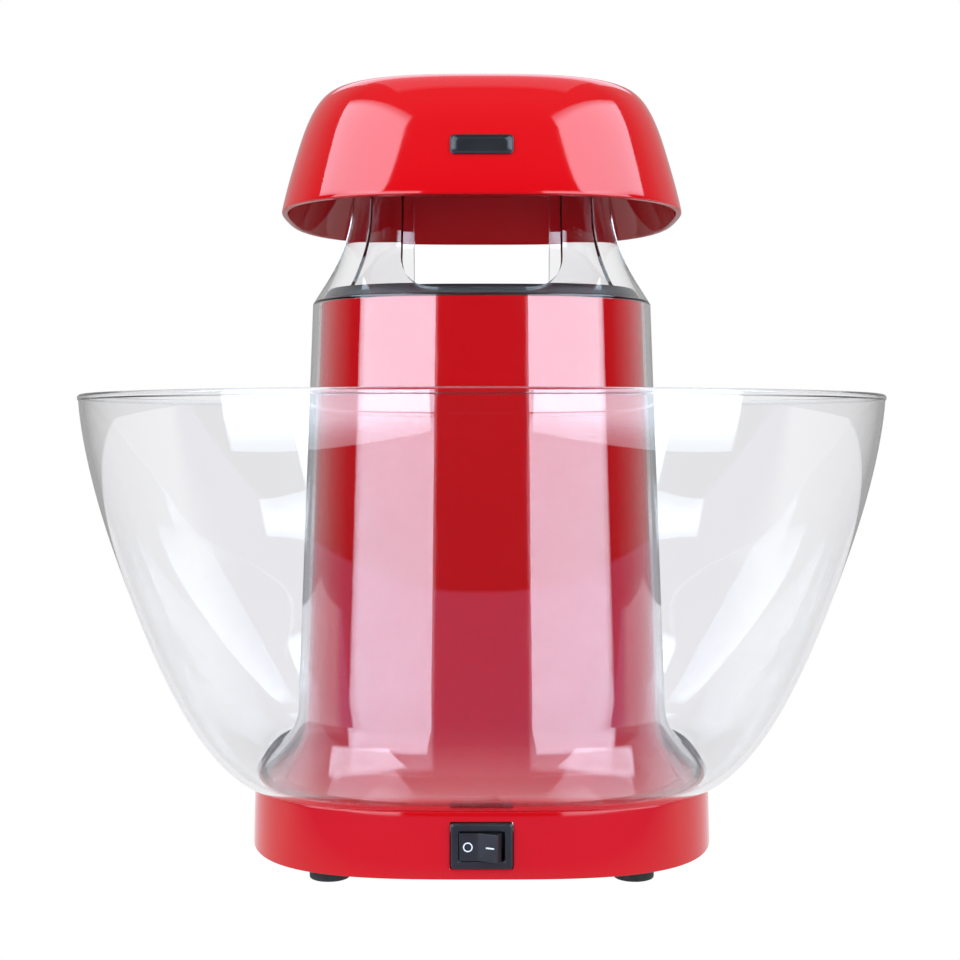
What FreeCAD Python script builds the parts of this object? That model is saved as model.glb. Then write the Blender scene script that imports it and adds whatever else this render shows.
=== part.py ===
"""Hot-air popcorn maker with a clear catch bowl, a clear chimney and a lift-off dome.

Millimetres. +Z is up and the front, with the rocker switch, faces -Y. The origin is the
middle of the footprint at the height of the feet's underside.
Most outlines are squircles: |x|^p + |y|^p = half^p, with half the half-width.
"""
import FreeCAD
import Part
import math
import os

V = FreeCAD.Vector
X_AXIS, Y_AXIS, Z_AXIS = V(1, 0, 0), V(0, 1, 0), V(0, 0, 1)

# ---- base ----
FOOT_HEIGHT = 7.8
FOOT_RADIUS = 7.2
FOOT_PITCH = 108.0
BASE_WIDTH = 170.6
BASE_HEIGHT = 22.8
BASE_POWER = 3.2
BASE_DRAFT = 0.5
BASE_WALL = 2.4
BASE_EDGE = 0.7
PLATE_THICK = 2.4
PLATE_GAP = 0.4
PLATE_SCREW_X, PLATE_SCREW_Y = 69.0, 24.0
VENT_SLOTS = 9
VENT_SLOT_WIDTH, VENT_PITCH = 2.6, 6.4
VENT_RADIUS = 34.0

# ---- tower ----
TOWER_HEIGHT = 176.2
TOWER_WIDTH_TOP = 123.2
TOWER_WIDTH_FOOT = 133.8
TOWER_FLARE_WIDTH = 152.0
TOWER_FLARE_HEIGHT = 24.0
TOWER_POWER = 2.7
TOWER_WALL = 2.2
COLLAR_HEIGHT = 3.8
COLLAR_SKIRT = 9.0

# ---- clear chimney and bowl ----
SLEEVE_GAP = 1.2
SLEEVE_WALL = 1.8
SHOULDER_DROP = 0.5
NECK_RISE = 40.0
NECK_WIDTH = 104.0
CROWN_WIDTH = 102.8
WINDOW_WIDTH = 57.6
WINDOW_SILL = 2.4
WINDOW_CORNER = 11.5
WINDOW_HEAD = 3.0
WINDOW_HEIGHT = 47.8
CROWN_RING = 7.0
BOWL_DIAMETER = 306.0
BOWL_HEIGHT = 141.3
BOWL_WALL = 2.0
BOWL_BEAD = 0.7
BOWL_FLOOR = 1.6
BOWL_FLOOR_WIDTH = 5.8
BOWL_LEAN, BOWL_ROUND = 1.48, 0.68
BOND_GAP = 0.1
SEAT_GAP = 0.05

# ---- dome ----
DOME_WIDTH = 151.8
DOME_DROP = 24.2
DOME_HEIGHT = 45.8
DOME_POWER = 2.9
DOME_WALL = 2.2
DOME_DRAFT = 6.1
DOME_SHOULDER_RISE = 23.8
DOME_CROWN_WIDTH = 108.0
DOME_CROWN_CURVE = 2.5
COLLAR_FIT = 0.8
COLLAR_WALL = 2.0
COLLAR_OVERLAP = 5.0
BADGE_WIDTH, BADGE_HEIGHT, BADGE_THICK = 22.0, 7.2, 0.8
BADGE_RISE = 17.7

# ---- popping chamber, heater and fan ----
CHAMBER_RADIUS = 49.0
CHAMBER_DEPTH = 84.0
CHAMBER_WALL = 1.0
CHAMBER_FLANGE = 3.5
LOUVRES = 20
CAN_WALL = 0.8
CAN_OVERLAP = 24.0
HOT_AIR_GAP = 5.8
FAN_CASE_WALL = 2.4
FAN_CASE_HEIGHT = 46.0
FAN_FLANGE_WIDTH = 8.5
FAN_FLANGE_THICK = 2.5
FAN_FLOOR_RISE = 20.0
FAN_EYE_RADIUS = 29.0
MICA_THICK = 1.0
MICA_MARGIN = 12.0
MICA_HEIGHT = 36.0
COIL_WIRE = 0.6
COIL_BEND = 2.0
COIL_TURNS = 7
IMPELLER_GAP = 9.6
IMPELLER_HEIGHT = 15.0
IMPELLER_LIFT = 1.5
IMPELLER_BLADES = 24
MOTOR_RADIUS = 14.0
MOTOR_LENGTH = 32.0
MOTOR_WALL = 1.2
SHAFT_RADIUS = 1.6
LEAD_RADIUS = 1.1
RUN_CLEARANCE = 0.06

# ---- switch ----
BEZEL_WIDTH, BEZEL_HEIGHT, BEZEL_THICK = 21.0, 15.4, 2.0
SWITCH_BODY_WIDTH, SWITCH_BODY_HEIGHT, SWITCH_BODY_DEPTH = 18.8, 13.0, 12.0
ROCKER_WIDTH, ROCKER_HEIGHT = 15.2, 9.8
ROCKER_GAP = 0.25
ROCKER_TILT = 12.0
SWITCH_FIT = 0.15

# ---- cord outlet ----
CORD_BORE_RADIUS = 3.6
GLAND_WALL = 1.8
GLAND_FLANGE = 2.2
GLAND_LENGTH = 9.0

# ---- screws ----
SCREW_RADIUS = 1.5
SCREW_HEAD_RADIUS = 2.9
SCREW_HEAD_HEIGHT = 1.8
SCREW_CLEARANCE = 0.15
BOSS_WALL = 2.3

# ---- heights and places worked out from the sizes above ----
BASE_HALF = BASE_WIDTH / 2
BASE_BOTTOM = FOOT_HEIGHT
DECK_TOP = BASE_BOTTOM + BASE_HEIGHT
DECK_UNDER = DECK_TOP - BASE_WALL
PLATE_BOTTOM = BASE_BOTTOM + 0.4
PLATE_TOP = PLATE_BOTTOM + PLATE_THICK
SWITCH_Z = BASE_BOTTOM + BASE_HEIGHT / 2
TOWER_TOP = DECK_TOP + TOWER_HEIGHT
COLLAR_TOP = TOWER_TOP + COLLAR_HEIGHT
SLEEVE_OFFSET = SLEEVE_GAP + SLEEVE_WALL
BOWL_BOTTOM_Z = DECK_TOP + SEAT_GAP
SLEEVE_FOOT_Z = BOWL_BOTTOM_Z + BOWL_FLOOR
BOWL_RIM_Z = BOWL_BOTTOM_Z + BOWL_HEIGHT
BOWL_RIM_HALF = BOWL_DIAMETER / 2 - BOWL_BEAD / 2
SLEEVE_FOOT_HALF = BASE_HALF - BOWL_WALL - BOND_GAP
SHOULDER_Z = TOWER_TOP - SHOULDER_DROP
NECK_HALF, CROWN_HALF = NECK_WIDTH / 2, CROWN_WIDTH / 2
WINDOW_BOTTOM_Z = TOWER_TOP + WINDOW_SILL
WINDOW_TOP_Z = WINDOW_BOTTOM_Z + WINDOW_HEIGHT
CROWN_Z = WINDOW_TOP_Z + CROWN_RING
DOME_HALF, DOME_CROWN_HALF = DOME_WIDTH / 2, DOME_CROWN_WIDTH / 2
DOME_RIM_Z = CROWN_Z - DOME_DROP
DOME_TOP = DOME_RIM_Z + DOME_HEIGHT
CAN_RADIUS = CHAMBER_RADIUS + HOT_AIR_GAP + CAN_WALL
FAN_CASE_RADIUS = CHAMBER_RADIUS + 1.0
FAN_FLANGE_RADIUS = FAN_CASE_RADIUS + FAN_FLANGE_WIDTH
IMPELLER_RADIUS = FAN_CASE_RADIUS - FAN_CASE_WALL - IMPELLER_GAP
MICA_HALF = CHAMBER_RADIUS - MICA_MARGIN
CHAMBER_BOTTOM = COLLAR_TOP - CHAMBER_DEPTH
FAN_CASE_TOP = DECK_TOP + FAN_CASE_HEIGHT
FAN_FLOOR_Z = DECK_TOP + FAN_FLOOR_RISE
CAN_TOP = CHAMBER_BOTTOM + CAN_OVERLAP
FAN_FLOOR_TOP = FAN_FLOOR_Z + FAN_CASE_WALL
IMPELLER_Z = FAN_FLOOR_TOP + IMPELLER_LIFT
MOTOR_TOP = FAN_FLOOR_Z
MOTOR_BOTTOM = MOTOR_TOP - MOTOR_LENGTH
BEZEL_SEAT_Y = -(BASE_HALF - 0.9)
ROCKER_PIVOT_Y = BEZEL_SEAT_Y + 1.0
TOWER_SCREW = (TOWER_WIDTH_FOOT / 2 - TOWER_WALL) * 0.71
PLATE_SCREWS = [(x, y) for x in (-PLATE_SCREW_X, PLATE_SCREW_X) for y in (-PLATE_SCREW_Y, PLATE_SCREW_Y)]
TOWER_SCREWS = [(x, y) for x in (-TOWER_SCREW, TOWER_SCREW) for y in (-TOWER_SCREW, TOWER_SCREW)]
FAN_SCREW_RADIUS = FAN_CASE_RADIUS + FAN_FLANGE_WIDTH / 2
FAN_SCREWS = [(FAN_SCREW_RADIUS, 0), (-FAN_SCREW_RADIUS, 0), (0, FAN_SCREW_RADIUS), (0, -FAN_SCREW_RADIUS)]
MOTOR_SCREWS = [(x, 0) for x in (-9.0, 9.0)]
OVERRUN = 1.0
LOFT_DEGREE = 3


# ---- general shapes ----
def squircle_wire(half, power, z, points=32):
    """A closed smooth squircle in the plane at height z."""
    outline = []
    for i in range(points):
        angle = 2 * math.pi * i / points
        c, s = math.cos(angle), math.sin(angle)
        reach = half / (abs(c) ** power + abs(s) ** power) ** (1 / power)
        outline.append(V(reach * c, reach * s, z))
    curve = Part.BSplineCurve()
    curve.interpolate(Points=outline, PeriodicFlag=True)
    return Part.Wire([curve.toShape()])


def loft(sections):
    """A solid through squircle sections given as (z, half-width, power)."""
    wires = [squircle_wire(half, power, z) for z, half, power in sections]
    return Part.makeLoft(wires, True, False, False, LOFT_DEGREE)


def shell(runs, wall):
    """A wall of even width round runs of sections, each run smooth and joined to the next."""
    pieces = []
    for run in runs:
        inner = [(z, half - wall, power) for z, half, power in run]
        pieces.append(loft(run).cut(loft(inner)))
    return fused(pieces)


def prism(half, power, z, height):
    """A straight squircle block."""
    return Part.Face(squircle_wire(half, power, z)).extrude(V(0, 0, height))


def tube(outer, inner, z, height, x=0.0, y=0.0):
    """A round tube, or a disc where inner is 0."""
    body = Part.makeCylinder(outer, height, V(x, y, z))
    return body.cut(Part.makeCylinder(inner, height, V(x, y, z))) if inner else body


def revolve(outline):
    """A solid of revolution about Z of a closed (radius, z) outline."""
    points = [V(r, 0, z) for r, z in outline]
    face = Part.Face(Part.makePolygon(points + [points[0]]))
    return face.revolve(V(0, 0, 0), Z_AXIS, 360)


def block(x, y, z):
    """A box given by its (low, high) limits on each axis."""
    return Part.makeBox(x[1] - x[0], y[1] - y[0], z[1] - z[0], V(x[0], y[0], z[0]))


def fused(shapes):
    """One solid from touching or overlapping shapes."""
    whole = shapes[0].fuse(shapes[1:]) if len(shapes) > 1 else shapes[0]
    return whole.removeSplitter()


def turned(shape, degrees, centre=V(0, 0, 0), axis=Z_AXIS):
    """A copy of a shape turned about an axis."""
    copy = shape.copy()
    copy.rotate(centre, axis, degrees)
    return copy


def save(name, shapes):
    """Writes one node, checking that each of its solids is sound."""
    shapes = shapes if isinstance(shapes, list) else [shapes]
    solids = [solid for shape in shapes for solid in shape.Solids]
    for solid in solids:
        if not solid.isValid() or solid.Volume <= 0:
            raise ValueError(f"{name} has a faulty solid")
    whole = solids[0] if len(solids) == 1 else Part.makeCompound(solids)
    whole.exportStep(os.path.join("parts", name + ".step"))


def parabola(start, end, share):
    """From start to end, steep at first and flat at the end."""
    return end + (start - end) * (1 - share) ** 2


def screw(x, y, head_z, length, upward=True):
    """A pan-head screw with a cross recess; head_z is the head's bearing face."""
    way = 1 if upward else -1
    axis = V(0, 0, way)
    shank = Part.makeCylinder(SCREW_RADIUS, length, V(x, y, head_z), axis)
    head = Part.makeCylinder(SCREW_HEAD_RADIUS, SCREW_HEAD_HEIGHT, V(x, y, head_z), V(0, 0, -way))
    head = head.makeFillet(0.8, [e for e in head.Edges if abs(e.BoundBox.Center.z - head_z) > 1])
    drive_low = head_z - way * SCREW_HEAD_HEIGHT
    z_limits = sorted((drive_low, drive_low + way * 0.9))
    for arm_x, arm_y in ((1.7, 0.35), (0.35, 1.7)):
        head = head.cut(block((x - arm_x, x + arm_x), (y - arm_y, y + arm_y), z_limits))
    return fused([shank, head])


def boss(x, y, z, height, depth=None):
    """A round post and the hole for its screw."""
    post = Part.makeCylinder(SCREW_RADIUS + BOSS_WALL, height, V(x, y, z))
    hole = Part.makeCylinder(SCREW_RADIUS + SCREW_CLEARANCE, depth or height, V(x, y, z))
    return post, hole


def screw_holes(places, z, height):
    """Clearance holes centred on height z."""
    return [Part.makeCylinder(SCREW_RADIUS + SCREW_CLEARANCE, 2 * height, V(x, y, z - height))
            for x, y in places]


def wire_run(points, radius, bend=None):
    """A round wire of straight runs and tangent arcs, as wide as the runs allow or of radius bend."""
    nodes = [V(*p) for p in points]
    edges, here = [], nodes[0]
    for before, corner, after in zip(nodes, nodes[1:], nodes[2:]):
        back, ahead = before - corner, after - corner
        half_turn = (math.pi - back.getAngle(ahead)) / 2
        reach = 0.45 * min(back.Length, ahead.Length)
        if bend:
            reach = bend * math.tan(half_turn)
        back.normalize()
        ahead.normalize()
        start, end = corner + back * reach, corner + ahead * reach
        depth = reach * math.tan(half_turn / 2)
        bisector = back + ahead
        bisector.normalize()
        edges.append(Part.LineSegment(here, start).toShape())
        edges.append(Part.Arc(start, corner + bisector * depth, end).toShape())
        here = end
    edges.append(Part.LineSegment(here, nodes[-1]).toShape())
    ring = Part.Wire([Part.makeCircle(radius, nodes[0], nodes[1] - nodes[0])])
    return Part.Wire(edges).makePipeShell([ring], True, False)


# ---- profiles ----
def tower_half(z):
    """Outer half-width of the tower at height z."""
    foot_z = DECK_TOP + TOWER_FLARE_HEIGHT
    top, foot = TOWER_WIDTH_TOP / 2, TOWER_WIDTH_FOOT / 2
    if z >= foot_z:
        return foot + (top - foot) * (z - foot_z) / (TOWER_TOP - foot_z)
    return parabola(TOWER_FLARE_WIDTH / 2, foot, (z - DECK_TOP) / TOWER_FLARE_HEIGHT)


def tower_runs():
    """The tower's outline: its flared foot, then its straight taper."""
    flare = [DECK_TOP + TOWER_FLARE_HEIGHT * i / 5 for i in range(6)]
    taper = [flare[-1], TOWER_TOP]
    return [[(z, tower_half(z), TOWER_POWER) for z in steps] for steps in (flare, taper)]


def skirt_half(share):
    """Outer half-width and power of the chimney's skirt, from its foot up."""
    top = tower_half(DECK_TOP + TOWER_FLARE_HEIGHT) + SLEEVE_OFFSET
    return parabola(SLEEVE_FOOT_HALF, top, share), BASE_POWER + (TOWER_POWER - BASE_POWER) * share


def chimney_runs():
    """The chimney's outline: skirt, taper, neck and top ring."""
    rise = TOWER_FLARE_HEIGHT + DECK_TOP - SLEEVE_FOOT_Z
    skirt = [(SLEEVE_FOOT_Z + rise * i / 6, *skirt_half(i / 6)) for i in range(7)]
    shoulder = tower_half(SHOULDER_Z) + SLEEVE_OFFSET
    taper = [skirt[-1], (SHOULDER_Z, shoulder, TOWER_POWER)]
    neck = []
    for i in range(6):
        z = SHOULDER_Z + NECK_RISE * i / 5
        neck.append((z, parabola(shoulder, NECK_HALF, i / 5), TOWER_POWER))
    crown = [neck[-1], (CROWN_Z, CROWN_HALF, TOWER_POWER)]
    return [skirt, taper, neck, crown]


def bowl_half(share):
    """Half-width of the bowl's wall at a share of its height: a leaning ellipse."""
    return BASE_HALF + (BOWL_RIM_HALF - BASE_HALF) * (1 - (1 - share) ** BOWL_LEAN) ** BOWL_ROUND


def bowl_sections():
    """The bowl: a squircle cuff at the foot that becomes round towards the rim."""
    sections = []
    for share in (0.0, 0.01, 0.03, 0.06, 0.1, 0.16, 0.24, 0.35, 0.48, 0.64, 0.82, 1.0):
        power = 2 + (BASE_POWER - 2) * (1 - min(1.0, share / 0.6)) ** 2
        sections.append((BOWL_BOTTOM_Z + BOWL_HEIGHT * share, bowl_half(share), power))
    return sections


def dome_sections(wall=0.0):
    """The dome's outline, or its inner one a wall further in."""
    shoulder_z = DOME_RIM_Z + DOME_SHOULDER_RISE
    shoulder = DOME_HALF - DOME_DRAFT
    drop = DOME_TOP - shoulder_z
    sections = []
    for i in range(4):
        share = i / 3
        half = DOME_HALF - DOME_DRAFT * share ** 1.15
        sections.append((DOME_RIM_Z + DOME_SHOULDER_RISE * share, half - wall, DOME_POWER))
    for part in (0.95, 0.88, 0.78, 0.65, 0.48, 0.26, 0.0):
        half = DOME_CROWN_HALF + (shoulder - DOME_CROWN_HALF) * part
        rise = (drop - wall) * (1 - part ** DOME_CROWN_CURVE)
        sections.append((shoulder_z + rise, half - wall, DOME_POWER))
    return sections


# ---- base ----
def foot_places():
    """Centres of the four feet."""
    reach = FOOT_PITCH / 2
    return [(x, y) for x in (-reach, reach) for y in (-reach, reach)]


def make_base_shell():
    """The red base: an outer skirt and a deck, with switch, cord and screw holes."""
    low, high = BASE_BOTTOM, DECK_TOP
    edge = BASE_EDGE
    top_half = BASE_HALF - BASE_DRAFT
    outer = loft([
        (low, BASE_HALF, BASE_POWER),
        ((low + high) / 2, (BASE_HALF + top_half) / 2, BASE_POWER),
        (high - edge, top_half, BASE_POWER),
        (high - edge * 0.3, top_half - edge * 0.3, BASE_POWER),
        (high, top_half - edge, BASE_POWER),
    ])
    hollow = prism(BASE_HALF - BASE_WALL - BASE_DRAFT, BASE_POWER, low - OVERRUN,
                   DECK_UNDER - low + OVERRUN)
    base = outer.cut(hollow)
    base = base.cut(Part.makeCylinder(FAN_CASE_RADIUS - FAN_CASE_WALL, 3 * BASE_WALL,
                                        V(0, 0, DECK_UNDER - BASE_WALL)))
    for x, y in PLATE_SCREWS:
        post, hole = boss(x, y, PLATE_TOP, DECK_UNDER - PLATE_TOP, DECK_UNDER - PLATE_TOP - 3)
        base = base.fuse(post).cut(hole)
    base = base.cut(screw_holes(TOWER_SCREWS, DECK_TOP, 2 * BASE_WALL))
    for x, y in FAN_SCREWS:
        post, hole = boss(x, y, DECK_UNDER - 6, 6.0, 6 + 2 * BASE_WALL)
        base = base.fuse(post).cut(hole)
    face = -BASE_HALF - OVERRUN
    recess = block((-BEZEL_WIDTH / 2 - SWITCH_FIT, BEZEL_WIDTH / 2 + SWITCH_FIT),
                   (face, BEZEL_SEAT_Y),
                   (SWITCH_Z - BEZEL_HEIGHT / 2 - SWITCH_FIT, SWITCH_Z + BEZEL_HEIGHT / 2 + SWITCH_FIT))
    slot = block((-SWITCH_BODY_WIDTH / 2 - SWITCH_FIT, SWITCH_BODY_WIDTH / 2 + SWITCH_FIT),
                 (face, face + 4 * BASE_WALL),
                 (SWITCH_Z - SWITCH_BODY_HEIGHT / 2 - SWITCH_FIT,
                  SWITCH_Z + SWITCH_BODY_HEIGHT / 2 + SWITCH_FIT))
    base = base.cut(recess).cut(slot)
    cord_hole = Part.makeCylinder(CORD_BORE_RADIUS + GLAND_WALL + 0.1, 4 * BASE_WALL,
                                  V(0, BASE_HALF - 3 * BASE_WALL, SWITCH_Z), Y_AXIS)
    return base.cut(cord_hole).removeSplitter()


def make_bottom_plate():
    """The vented plate that closes the base from below."""
    half = BASE_HALF - BASE_WALL - BASE_DRAFT - PLATE_GAP
    plate = prism(half, BASE_POWER, PLATE_BOTTOM, PLATE_THICK)
    cuts = []
    for i in range(VENT_SLOTS):
        x = (i - (VENT_SLOTS - 1) / 2) * VENT_PITCH
        reach = math.sqrt(VENT_RADIUS ** 2 - x ** 2)
        for side in (-1, 1):
            ends = sorted((side * 3.0, side * reach))
            cuts.append(block((x - VENT_SLOT_WIDTH / 2, x + VENT_SLOT_WIDTH / 2), ends,
                              (PLATE_BOTTOM - OVERRUN, PLATE_TOP + OVERRUN)))
    cuts += screw_holes(PLATE_SCREWS, PLATE_TOP, 2 * PLATE_THICK)
    for x, y in foot_places():
        cuts.append(Part.makeCylinder(foot_plug_radius() + 0.1, 3 * PLATE_THICK,
                                      V(x, y, PLATE_BOTTOM - OVERRUN)))
    return plate.cut(cuts)


def foot_plug_radius():
    """Radius of the plug that holds a foot in the bottom plate."""
    return FOOT_RADIUS * 0.42


def make_foot(x, y):
    """A round rubber foot with a plug and a retaining lip."""
    plug = foot_plug_radius()
    foot = revolve([
        (0, 0), (FOOT_RADIUS - 1.2, 0), (FOOT_RADIUS - 0.3, 0.7), (FOOT_RADIUS, 2.0),
        (FOOT_RADIUS, PLATE_BOTTOM), (plug, PLATE_BOTTOM), (plug, PLATE_TOP),
        (plug + 0.8, PLATE_TOP), (plug - 0.6, PLATE_TOP + 2.4), (0, PLATE_TOP + 2.4),
    ])
    foot.translate(V(x, y, 0))
    return foot


# ---- tower ----
def make_tower_housing():
    """The red tower, flared to the deck, with four screw posts in its corners."""
    runs = tower_runs()
    housing = shell(runs, TOWER_WALL)
    inside = loft([(z, half - TOWER_WALL / 2, power) for z, half, power in runs[0]])
    for x, y in TOWER_SCREWS:
        post, hole = boss(x, y, DECK_TOP, 14.0, 11.0)
        web = block((0, 20), (-1.2, 1.2), (DECK_TOP, DECK_TOP + 14))
        web = turned(web, math.degrees(math.atan2(y, x)))
        web.translate(V(x, y, 0))
        housing = housing.fuse(post.fuse(web).common(inside)).cut(hole)
    return housing.removeSplitter()


def collar_ledge():
    """Height of the ledge that the chamber's flange rests on."""
    return COLLAR_TOP - CHAMBER_WALL


def make_chamber_collar():
    """The black ring that closes the tower's top and carries the chamber."""
    half = tower_half(TOWER_TOP)
    top = loft([
        (TOWER_TOP, half - 0.1, TOWER_POWER),
        (TOWER_TOP + COLLAR_HEIGHT * 0.5, half - 0.9, TOWER_POWER),
        (TOWER_TOP + COLLAR_HEIGHT * 0.9, half - 1.8, TOWER_POWER),
        (COLLAR_TOP, half - 2.4, TOWER_POWER),
    ])
    neck_half = half - TOWER_WALL - 0.3
    skirt = prism(neck_half, TOWER_POWER, TOWER_TOP - COLLAR_SKIRT, COLLAR_SKIRT)
    skirt = skirt.cut(prism(neck_half - 2.0, TOWER_POWER, TOWER_TOP - COLLAR_SKIRT - OVERRUN,
                            COLLAR_SKIRT + OVERRUN))
    ring = top.fuse(skirt)
    bore = CHAMBER_RADIUS + 0.3
    ring = ring.cut(Part.makeCylinder(bore, 3 * COLLAR_SKIRT, V(0, 0, TOWER_TOP - 1.5 * COLLAR_SKIRT)))
    rebate = Part.makeCylinder(CHAMBER_RADIUS + CHAMBER_FLANGE + 0.3, COLLAR_HEIGHT,
                               V(0, 0, collar_ledge()))
    return ring.cut(rebate).removeSplitter()


# ---- popping chamber and heater ----
def make_popping_chamber():
    """The aluminium cup with a rolled flange and a ring of slanting air louvres."""
    r, w = CHAMBER_RADIUS, CHAMBER_WALL
    z = CHAMBER_BOTTOM
    flange = r + CHAMBER_FLANGE
    cup = revolve([
        (0, z + 3), (r * 0.45, z + 2.2), (r - 6, z), (r - 1.6, z + 1.6), (r, z + 6),
        (r, COLLAR_TOP - w), (flange, COLLAR_TOP - w), (flange, COLLAR_TOP),
        (r - w, COLLAR_TOP), (r - w, z + 6.4), (r - w - 1.3, z + 2.6), (r - 6.3, z + w),
        (r * 0.45, z + 2.2 + w), (0, z + 3 + w),
    ])
    slots = []
    for i in range(LOUVRES):
        slot = block((r - 4, r + 2), (-0.9, 0.9), (z + 8, z + 18))
        slot.rotate(V(r, 0, z + 13), X_AXIS, 28)
        slots.append(turned(slot, 360 * i / LOUVRES))
    return cup.cut(slots)


def make_heater_can():
    """The steel can that leads hot air from the heater into the louvres."""
    r, w = CAN_RADIUS, CAN_WALL
    lip = CHAMBER_RADIUS + 0.3
    return revolve([
        (FAN_CASE_RADIUS - 1.5, FAN_CASE_TOP), (r, FAN_CASE_TOP), (r, CAN_TOP), (lip, CAN_TOP),
        (lip, CAN_TOP - w), (r - w, CAN_TOP - w), (r - w, FAN_CASE_TOP + w),
        (FAN_CASE_RADIUS - 1.5, FAN_CASE_TOP + w),
    ])


def heater_bottom():
    """Height of the lower edge of the mica cross."""
    return CHAMBER_BOTTOM - 5.0 - MICA_HEIGHT


def make_mica_cross():
    """Two crossing mica boards, each with feet on the can's rim."""
    z = heater_bottom()
    half, t = MICA_HALF, MICA_THICK / 2
    top = (z, z + MICA_HEIGHT)
    foot_top = z + 4
    reach = FAN_CASE_RADIUS + 1.0
    boards = [block((-half, half), (-t, t), top), block((-t, t), (-half, half), top),
              block((-reach, reach), (-t, t), (FAN_CASE_TOP + CAN_WALL, foot_top)),
              block((-t, t), (-reach, reach), (FAN_CASE_TOP + CAN_WALL, foot_top))]
    return fused(boards)


def make_heating_coil():
    """The resistance wire, wound round the edges of the mica cross."""
    low = heater_bottom() + 6
    rise = (MICA_HEIGHT - 9) / (4 * COIL_TURNS)
    slack = COIL_BEND * (math.sqrt(2) - 1)
    reach = MICA_HALF + COIL_WIRE + slack + 0.1
    points = []
    for i in range(4 * COIL_TURNS):
        angle = math.radians(90 * i)
        points.append((reach * math.cos(angle), reach * math.sin(angle), low + rise * i))
    return wire_run(points, COIL_WIRE, COIL_BEND)


def make_thermostat():
    """The bimetal cut-out on the can's wall, in one corner of the tower."""
    z = CHAMBER_BOTTOM + 6
    base = CAN_RADIUS + 0.4
    parts = [Part.makeCylinder(7.0, 3.6, V(base, 0, z), X_AXIS),
             Part.makeCylinder(5.0, 5.2, V(base, 0, z), X_AXIS)]
    flat = block((CAN_RADIUS - 3, base), (-12, 12), (z - 3.5, z + 3.5))
    parts.append(flat.cut(Part.makeCylinder(CAN_RADIUS, 20, V(0, 0, z - 10))))
    parts += [block((base + 3.0, base + 7.6), (y - 0.4, y + 0.4), (z - 1.5, z + 1.5)) for y in (-3.2, 3.2)]
    return turned(fused(parts), 45)


def make_thermal_fuse():
    """The one-shot fuse in its sleeve, clipped to the can in another corner."""
    z = CHAMBER_BOTTOM + 6
    centre = CAN_RADIUS + 3.2
    body = Part.makeCylinder(2.2, 16, V(centre, 0, z - 8))
    leads = Part.makeCylinder(0.5, 26, V(centre, 0, z - 13))
    clip = block((CAN_RADIUS - 3, centre), (-2.6, 2.6), (z - 3, z + 3))
    clip = clip.cut(Part.makeCylinder(CAN_RADIUS, 20, V(0, 0, z - 10)))
    return turned(fused([body, leads, clip]), 135)


# ---- fan and motor ----
def make_fan_case():
    """The black case round the impeller, with an air eye and a motor seat in its floor."""
    r, w = FAN_CASE_RADIUS, FAN_CASE_WALL
    flange_top = DECK_TOP + FAN_FLANGE_THICK
    case = revolve([
        (r - w, DECK_TOP), (FAN_FLANGE_RADIUS + 1.5, DECK_TOP), (FAN_FLANGE_RADIUS + 1.5, flange_top),
        (r, flange_top), (r, FAN_CASE_TOP), (r - w, FAN_CASE_TOP),
        (r - w, FAN_FLOOR_Z + w), (FAN_EYE_RADIUS, FAN_FLOOR_Z + w), (FAN_EYE_RADIUS, FAN_FLOOR_Z),
        (r - w, FAN_FLOOR_Z),
    ])
    seat = tube(MOTOR_RADIUS + 1.5, SHAFT_RADIUS + 3.6, FAN_FLOOR_Z, w)
    arms = []
    for i in range(3):
        arm = block((MOTOR_RADIUS, FAN_EYE_RADIUS + 1), (-2, 2), (FAN_FLOOR_Z, FAN_FLOOR_Z + w))
        arms.append(turned(arm, 30 + 120 * i))
    case = fused([case, seat] + arms)
    return case.cut(screw_holes(FAN_SCREWS, DECK_TOP, 2 * FAN_FLANGE_THICK)
                    + screw_holes(MOTOR_SCREWS, FAN_FLOOR_Z, 2 * FAN_CASE_WALL))


def make_impeller():
    """A centrifugal wheel: back plate, hub, inlet ring and curved blades."""
    low = IMPELLER_Z
    high = low + IMPELLER_HEIGHT
    bore = SHAFT_RADIUS + 0.02
    outer, inner = IMPELLER_RADIUS, FAN_EYE_RADIUS - 1
    pieces = [tube(outer, bore, high - 1.6, 1.6), tube(7.0, bore, low + 1, IMPELLER_HEIGHT - 1),
              tube(outer, inner, low, 1.4)]
    sweep = IMPELLER_RADIUS * 0.6
    for i in range(IMPELLER_BLADES):
        ring = tube(sweep, sweep - 0.9, low, IMPELLER_HEIGHT, inner - 2, -sweep + 0.45)
        blade = ring.common(block((inner - 2, outer), (-sweep, 0.5), (low, high)))
        blade = blade.common(tube(outer, inner - 2, low, IMPELLER_HEIGHT))
        pieces.append(turned(blade, 360 * i / IMPELLER_BLADES))
    return fused(pieces)


def make_motor_shaft():
    """The motor's steel shaft, with a collar that holds the impeller up."""
    top = IMPELLER_Z + IMPELLER_HEIGHT + 4
    shaft = Part.makeCylinder(SHAFT_RADIUS, top - MOTOR_BOTTOM - 3, V(0, 0, MOTOR_BOTTOM + 3))
    return fused([shaft, Part.makeCylinder(SHAFT_RADIUS + 1.4, 1.0, V(0, 0, IMPELLER_Z))])


def make_shaft_nut():
    """The nut that clamps the impeller on the shaft."""
    z = IMPELLER_Z + IMPELLER_HEIGHT
    corners = [V(3.2 * math.cos(math.radians(60 * i)), 3.2 * math.sin(math.radians(60 * i)), z)
               for i in range(7)]
    nut = Part.Face(Part.makePolygon(corners)).extrude(V(0, 0, 2.4))
    return nut.cut(Part.makeCylinder(SHAFT_RADIUS + 0.02, 4, V(0, 0, z - 1)))


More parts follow.
